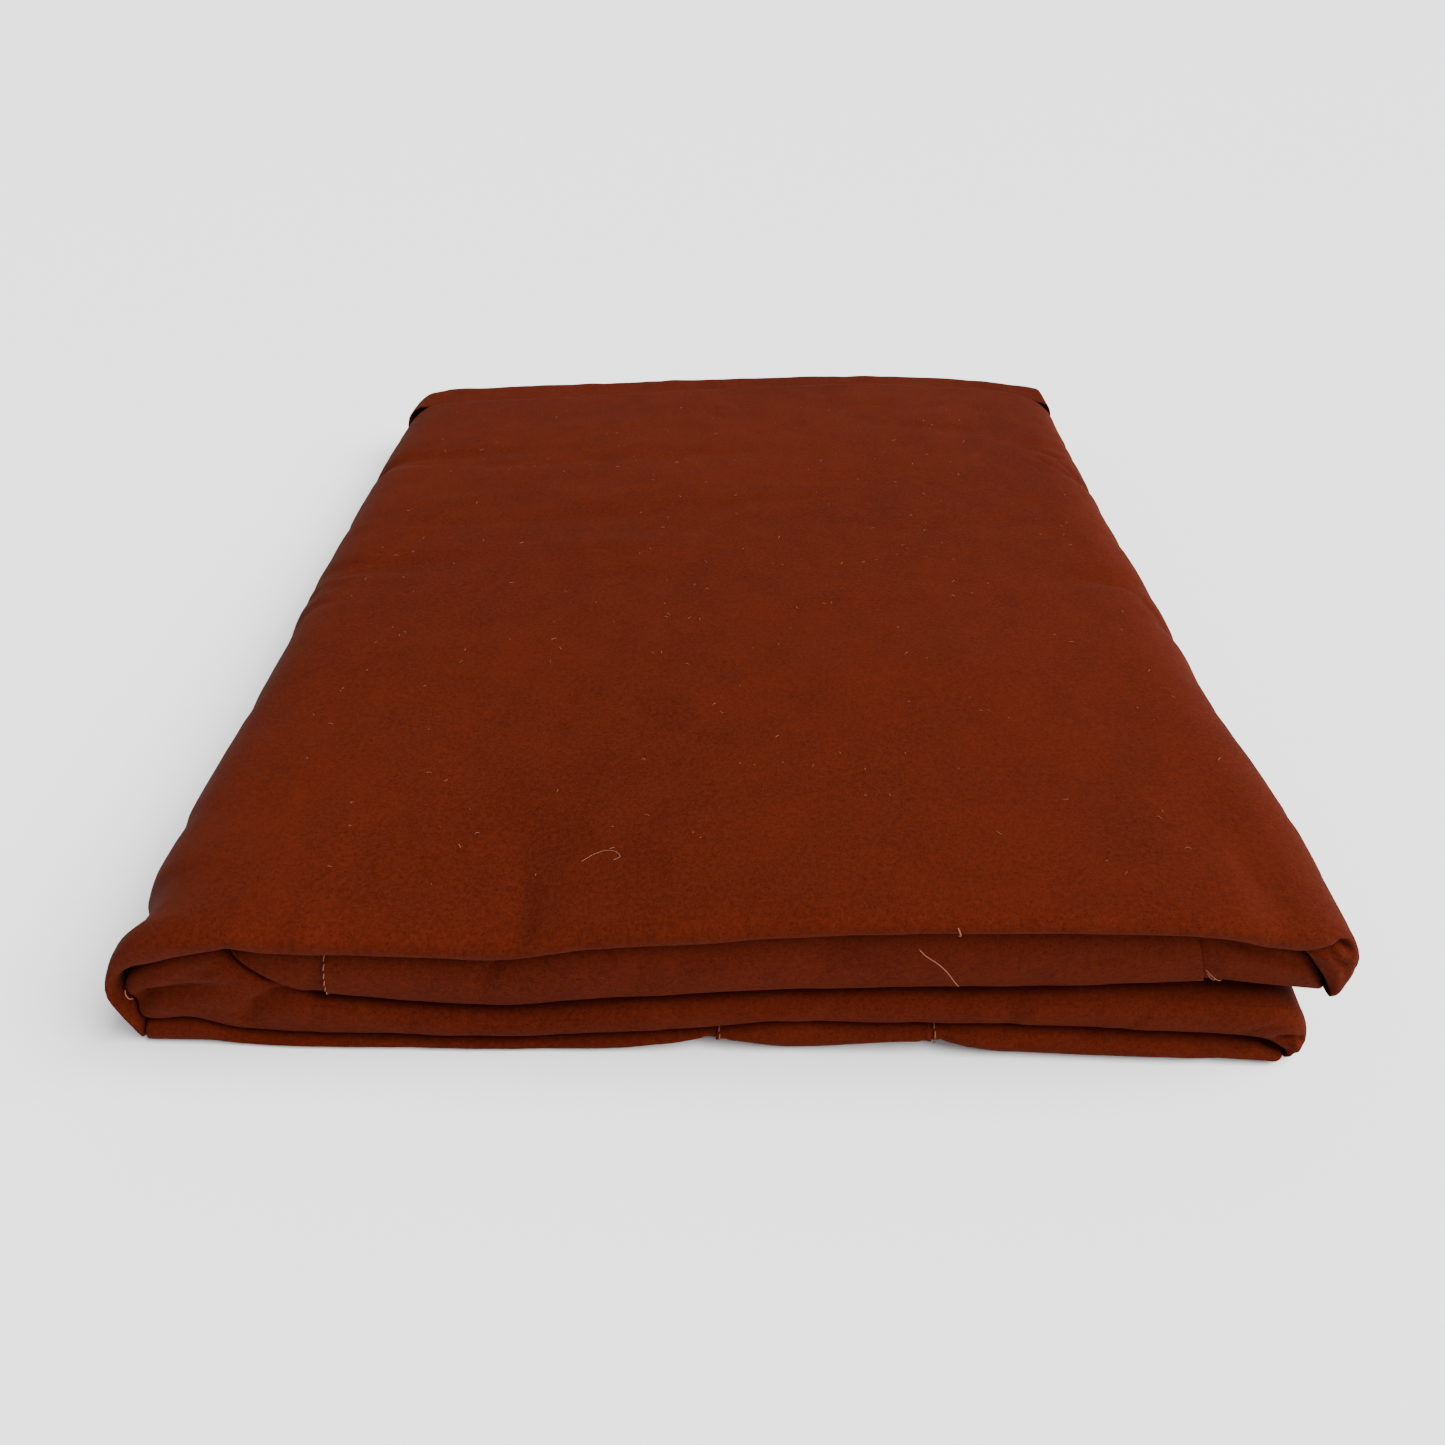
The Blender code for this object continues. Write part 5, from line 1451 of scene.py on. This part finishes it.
def cotton_material(name, settings, shade=1.0):
    """Brushed plain-weave cotton: weave, nap and uneven dye, and on the folds' edges a lighter tint that is
    painted sheen of the raised nap.
    """
    b = NodeBuilder(name)
    flat = b.add("ShaderNodeUVMap", {"uv_map": "cloth"}).outputs["UV"]
    place = b.add("ShaderNodeTexCoord").outputs["Object"]
    split = b.add("ShaderNodeSeparateXYZ", None, Vector=flat)
    wander = b.noise(place, WANDER_SCALE)
    turn = 2 * math.pi / settings.weave
    warp = b.math("SINE", b.math("MULTIPLY_ADD", split.outputs["X"], turn, b.math("MULTIPLY", wander, 5.0)))
    weft = b.math("SINE", b.math("MULTIPLY_ADD", split.outputs["Y"], turn, b.math("MULTIPLY", wander, 4.0)))
    weave = b.math("MULTIPLY", warp, weft)
    grain = b.noise(place, GRAIN_SCALE, 3.0, 0.7)
    nap = b.noise(place, NAP_SCALE, 3.0, 0.65)
    stretched = b.add("ShaderNodeMapping", None, Vector=flat, Scale=SLUB_SCALE).outputs[0]
    slub = b.noise(stretched, 1.0)
    mottle = b.noise(place, MOTTLE_SCALE, 3.0, 0.6)
    cloud = b.noise(place, CLOUD_SCALE)
    dye = b.math("MULTIPLY_ADD", mottle, 0.5, b.math("MULTIPLY", cloud, 0.5))
    dye = b.ramp(dye, 0.36, 0.66)
    # A shade below 1 darkens every colour: painted shade for the hidden layers
    main = [value * shade for value in settings.color]
    deep = [value * shade for value in settings.shade_color]
    worn = [value * shade for value in settings.nap_and_sheen_color]
    color = b.mix(dye, solid(deep), solid(main))
    speck = b.ramp(b.math("MULTIPLY_ADD", nap, 0.6, b.math("MULTIPLY", grain, 0.4)), 0.30, 0.72)
    color = b.mix(b.math("MULTIPLY", speck, 0.52), color, solid(worn))
    dark = b.ramp(b.math("SUBTRACT", 1.0, grain), 0.52, 0.76)
    color = b.mix(b.math("MULTIPLY", dark, 0.66), color, solid([value * 0.30 for value in deep]))
    color = b.mix(b.math("MULTIPLY", b.ramp(slub, 0.56, 0.8), 0.12), color, solid(worn))
    # Painted sheen: a lighter tint on the folds' edges and sides, where the raised nap catches the light
    edge = b.add("ShaderNodeAttribute", {"attribute_name": "worn"}).outputs["Fac"]
    raised = b.math("MULTIPLY", edge, b.ramp(nap, 0.25, 0.75))
    color = b.mix(b.math("MULTIPLY", raised, 0.12), color, solid(worn))
    height = b.math("MULTIPLY_ADD", weave, 0.10, b.math("MULTIPLY", grain, 0.55))
    height = b.math("MULTIPLY_ADD", nap, 0.8, height)
    bump = b.add("ShaderNodeBump", None, Height=height, Strength=0.75, Distance=0.00032)
    b.feed(b.shader.inputs["Base Color"], color)
    b.feed(b.shader.inputs["Normal"], bump.outputs["Normal"])
    b.shader.inputs["Roughness"].default_value = 0.93
    b.shader.inputs["Specular IOR Level"].default_value = 0.04
    b.shader.inputs["Sheen Weight"].default_value = 0.02
    b.shader.inputs["Sheen Roughness"].default_value = 0.45
    b.shader.inputs["Sheen Tint"].default_value = (1.0, 0.34, 0.16, 1.0)
    return b.material


def thread_material(name, color):
    """Twisted cotton thread, lighter where its strands stand up."""
    b = NodeBuilder(name)
    place = b.add("ShaderNodeTexCoord").outputs["Object"]
    strand = b.noise(place, STRAND_SCALE)
    b.feed(b.shader.inputs["Base Color"], b.mix(strand, solid([v * 0.6 for v in color]), solid(color)))
    bump = b.add("ShaderNodeBump", None, Height=strand, Strength=0.5, Distance=0.0001)
    b.feed(b.shader.inputs["Normal"], bump.outputs["Normal"])
    b.shader.inputs["Roughness"].default_value = 0.8
    return b.material


def floor_material(color):
    """Plain pale floor with the faintest unevenness."""
    b = NodeBuilder("floor_paint")
    place = b.add("ShaderNodeTexCoord").outputs["Object"]
    tone = b.noise(place, 3.0)
    b.feed(b.shader.inputs["Base Color"], b.mix(tone, solid([v * 0.99 for v in color]), solid(color)))
    b.shader.inputs["Roughness"].default_value = 0.9
    return b.material


def material_once(name, make):
    """The named material, made the first time that it is asked for."""
    return bpy.data.materials.get(name) or make(name)


def cloth_of(scene):
    return material_once("robe_cotton", lambda name: cotton_material(name, scene.robe_cloth))


# The same cotton darkened by painted shade, for the hidden layers
def shaded_inner_of(scene):
    return material_once("inner_cotton", lambda name: cotton_material(name, scene.robe_cloth, INNER_PAINTED_SHADE))


def thread_of(scene):
    return material_once("sewing_thread", lambda name: thread_material(name, scene.robe_sewing.color))


def lint_cotton():
    return material_once("lint", lambda name: thread_material(name, LINT_COLOR))


class ROBE_OT_stage(bpy.types.Operator):
    """Add the camera, the pale floor and the soft studio light"""

    bl_idname = "robe.make_stage"
    bl_label = "Stage and camera"

    def execute(self, context):
        stage = context.scene.robe_stage
        camera = bpy.data.objects.new("camera", bpy.data.cameras.new("camera"))
        context.scene.collection.objects.link(camera)
        camera.data.lens = CAMERA_LENS
        camera.data.sensor_width = CAMERA_SENSOR
        camera.data.clip_start = CAMERA_NEAR
        camera.location = CAMERA_PLACE
        camera.rotation_euler = Euler((math.radians(CAMERA_DIP), 0.0, math.radians(CAMERA_TURN)))
        context.scene.camera = camera
        mesh = bpy.data.meshes.new("floor")
        corners = [(x * FLOOR_HALF, y * FLOOR_HALF, 0) for x, y in ((-1, -1), (1, -1), (1, 1), (-1, 1))]
        mesh.from_pydata(corners, [], [(0, 1, 2, 3)])
        floor = bpy.data.objects.new("floor", mesh)
        floor.location.z = -FLOOR_DROP
        context.scene.collection.objects.link(floor)
        mesh.materials.append(floor_material(stage.floor_color))
        key = self.add_light(context, "SUN", "key_light", KEY_PLACE, stage.key)
        key.angle = KEY_SOFTNESS
        fill = self.add_light(context, "AREA", "fill_light", FILL_PLACE, stage.fill)
        fill.size = FILL_SIZE
        world = bpy.data.worlds.new("studio")
        world.use_nodes = True
        background = world.node_tree.nodes["Background"]
        background.inputs["Color"].default_value = (1.0, 1.0, 1.0, 1.0)
        background.inputs["Strength"].default_value = stage.world
        context.scene.world = world
        return {"FINISHED"}

    def add_light(self, context, kind, name, place, power):
        light = bpy.data.lights.new(name, kind)
        light.energy = power
        lamp = bpy.data.objects.new(name, light)
        context.scene.collection.objects.link(lamp)
        lamp.location = place
        aim = Vector(LIGHT_TARGET) - Vector(place)
        lamp.rotation_euler = aim.to_track_quat("-Z", "Y").to_euler()
        return light


class ROBE_OT_inner_layers(bpy.types.Operator):
    """Build the hidden layers with their edges along the sides"""

    bl_idname = "robe.make_inner_layers"
    bl_label = "Inner layers"

    def execute(self, context):
        build_inner_layers(shaded_inner_of(context.scene))
        return {"FINISHED"}


class ROBE_OT_top_panel(bpy.types.Operator):
    """Build the large outer panel with its lip, spine and upper turn"""

    bl_idname = "robe.make_top_panel"
    bl_label = "Top panel"

    def execute(self, context):
        build_top_panel(context.scene.robe_cloth, cloth_of(context.scene))
        return {"FINISHED"}


class ROBE_OT_second_fold(bpy.types.Operator):
    """Build the upper pack's lower fold"""

    bl_idname = "robe.make_second_fold"
    bl_label = "Second fold"

    def execute(self, context):
        build_second_fold(context.scene.robe_cloth, cloth_of(context.scene))
        return {"FINISHED"}


class ROBE_OT_lower_folds(bpy.types.Operator):
    """Build the lower pack's two folds and its right turn"""

    bl_idname = "robe.make_lower_folds"
    bl_label = "Lower folds"

    def execute(self, context):
        build_third_fold(context.scene.robe_cloth, cloth_of(context.scene))
        build_bottom_fold(context.scene.robe_cloth, cloth_of(context.scene))
        return {"FINISHED"}


class ROBE_OT_back_layer(bpy.types.Operator):
    """Build the layer that shows behind the top panel"""

    bl_idname = "robe.make_back_layer"
    bl_label = "Back layer"

    def execute(self, context):
        build_back_layer(context.scene.robe_cloth, cloth_of(context.scene))
        return {"FINISHED"}


class ROBE_OT_stitching(bpy.types.Operator):
    """Sew the seams' stitches"""

    bl_idname = "robe.make_stitching"
    bl_label = "Stitching"

    def execute(self, context):
        build_stitching(context.scene.robe_sewing, thread_of(context.scene))
        return {"FINISHED"}


class ROBE_OT_threads(bpy.types.Operator):
    """Lay the loose threads and the lint"""

    bl_idname = "robe.make_threads"
    bl_label = "Threads and lint"

    def execute(self, context):
        scene = context.scene
        build_threads(scene.robe_sewing, thread_of(scene), lint_cotton())
        return {"FINISHED"}


class ROBE_PT_panel(bpy.types.Panel):
    """Lists the robe's pieces and settings"""

    bl_idname = "ROBE_PT_panel"
    bl_label = "Folded Robe"
    bl_space_type = "VIEW_3D"
    bl_region_type = "UI"
    bl_category = "Robe"

    def draw(self, context):
        scene = context.scene
        for operator in OPERATORS:
            self.layout.operator(operator.bl_idname)
        for group in (scene.robe_cloth, scene.robe_sewing, scene.robe_stage):
            box = self.layout.box()
            for name in group.bl_rna.properties.keys():
                if name not in ("rna_type", "name"):
                    box.prop(group, name)


GROUPS = (ClothSettings, SewingSettings, StageSettings)
OPERATORS = (
    ROBE_OT_stage,
    ROBE_OT_inner_layers,
    ROBE_OT_top_panel,
    ROBE_OT_second_fold,
    ROBE_OT_lower_folds,
    ROBE_OT_back_layer,
    ROBE_OT_stitching,
    ROBE_OT_threads,
)


def register():
    for cls in GROUPS + OPERATORS + (ROBE_PT_panel,):
        bpy.utils.register_class(cls)
    bpy.types.Scene.robe_cloth = PointerProperty(type=ClothSettings)
    bpy.types.Scene.robe_sewing = PointerProperty(type=SewingSettings)
    bpy.types.Scene.robe_stage = PointerProperty(type=StageSettings)


def unregister():
    del bpy.types.Scene.robe_stage
    del bpy.types.Scene.robe_sewing
    del bpy.types.Scene.robe_cloth
    for cls in reversed(GROUPS + OPERATORS + (ROBE_PT_panel,)):
        bpy.utils.unregister_class(cls)


def main():
    register()
    bpy.ops.robe.make_stage()
    bpy.ops.robe.make_inner_layers()
    bpy.ops.robe.make_top_panel()
    bpy.ops.robe.make_second_fold()
    bpy.ops.robe.make_lower_folds()
    bpy.ops.robe.make_back_layer()
    bpy.ops.robe.make_stitching()
    bpy.ops.robe.make_threads()
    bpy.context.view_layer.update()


if __name__ == "__main__":
    main()
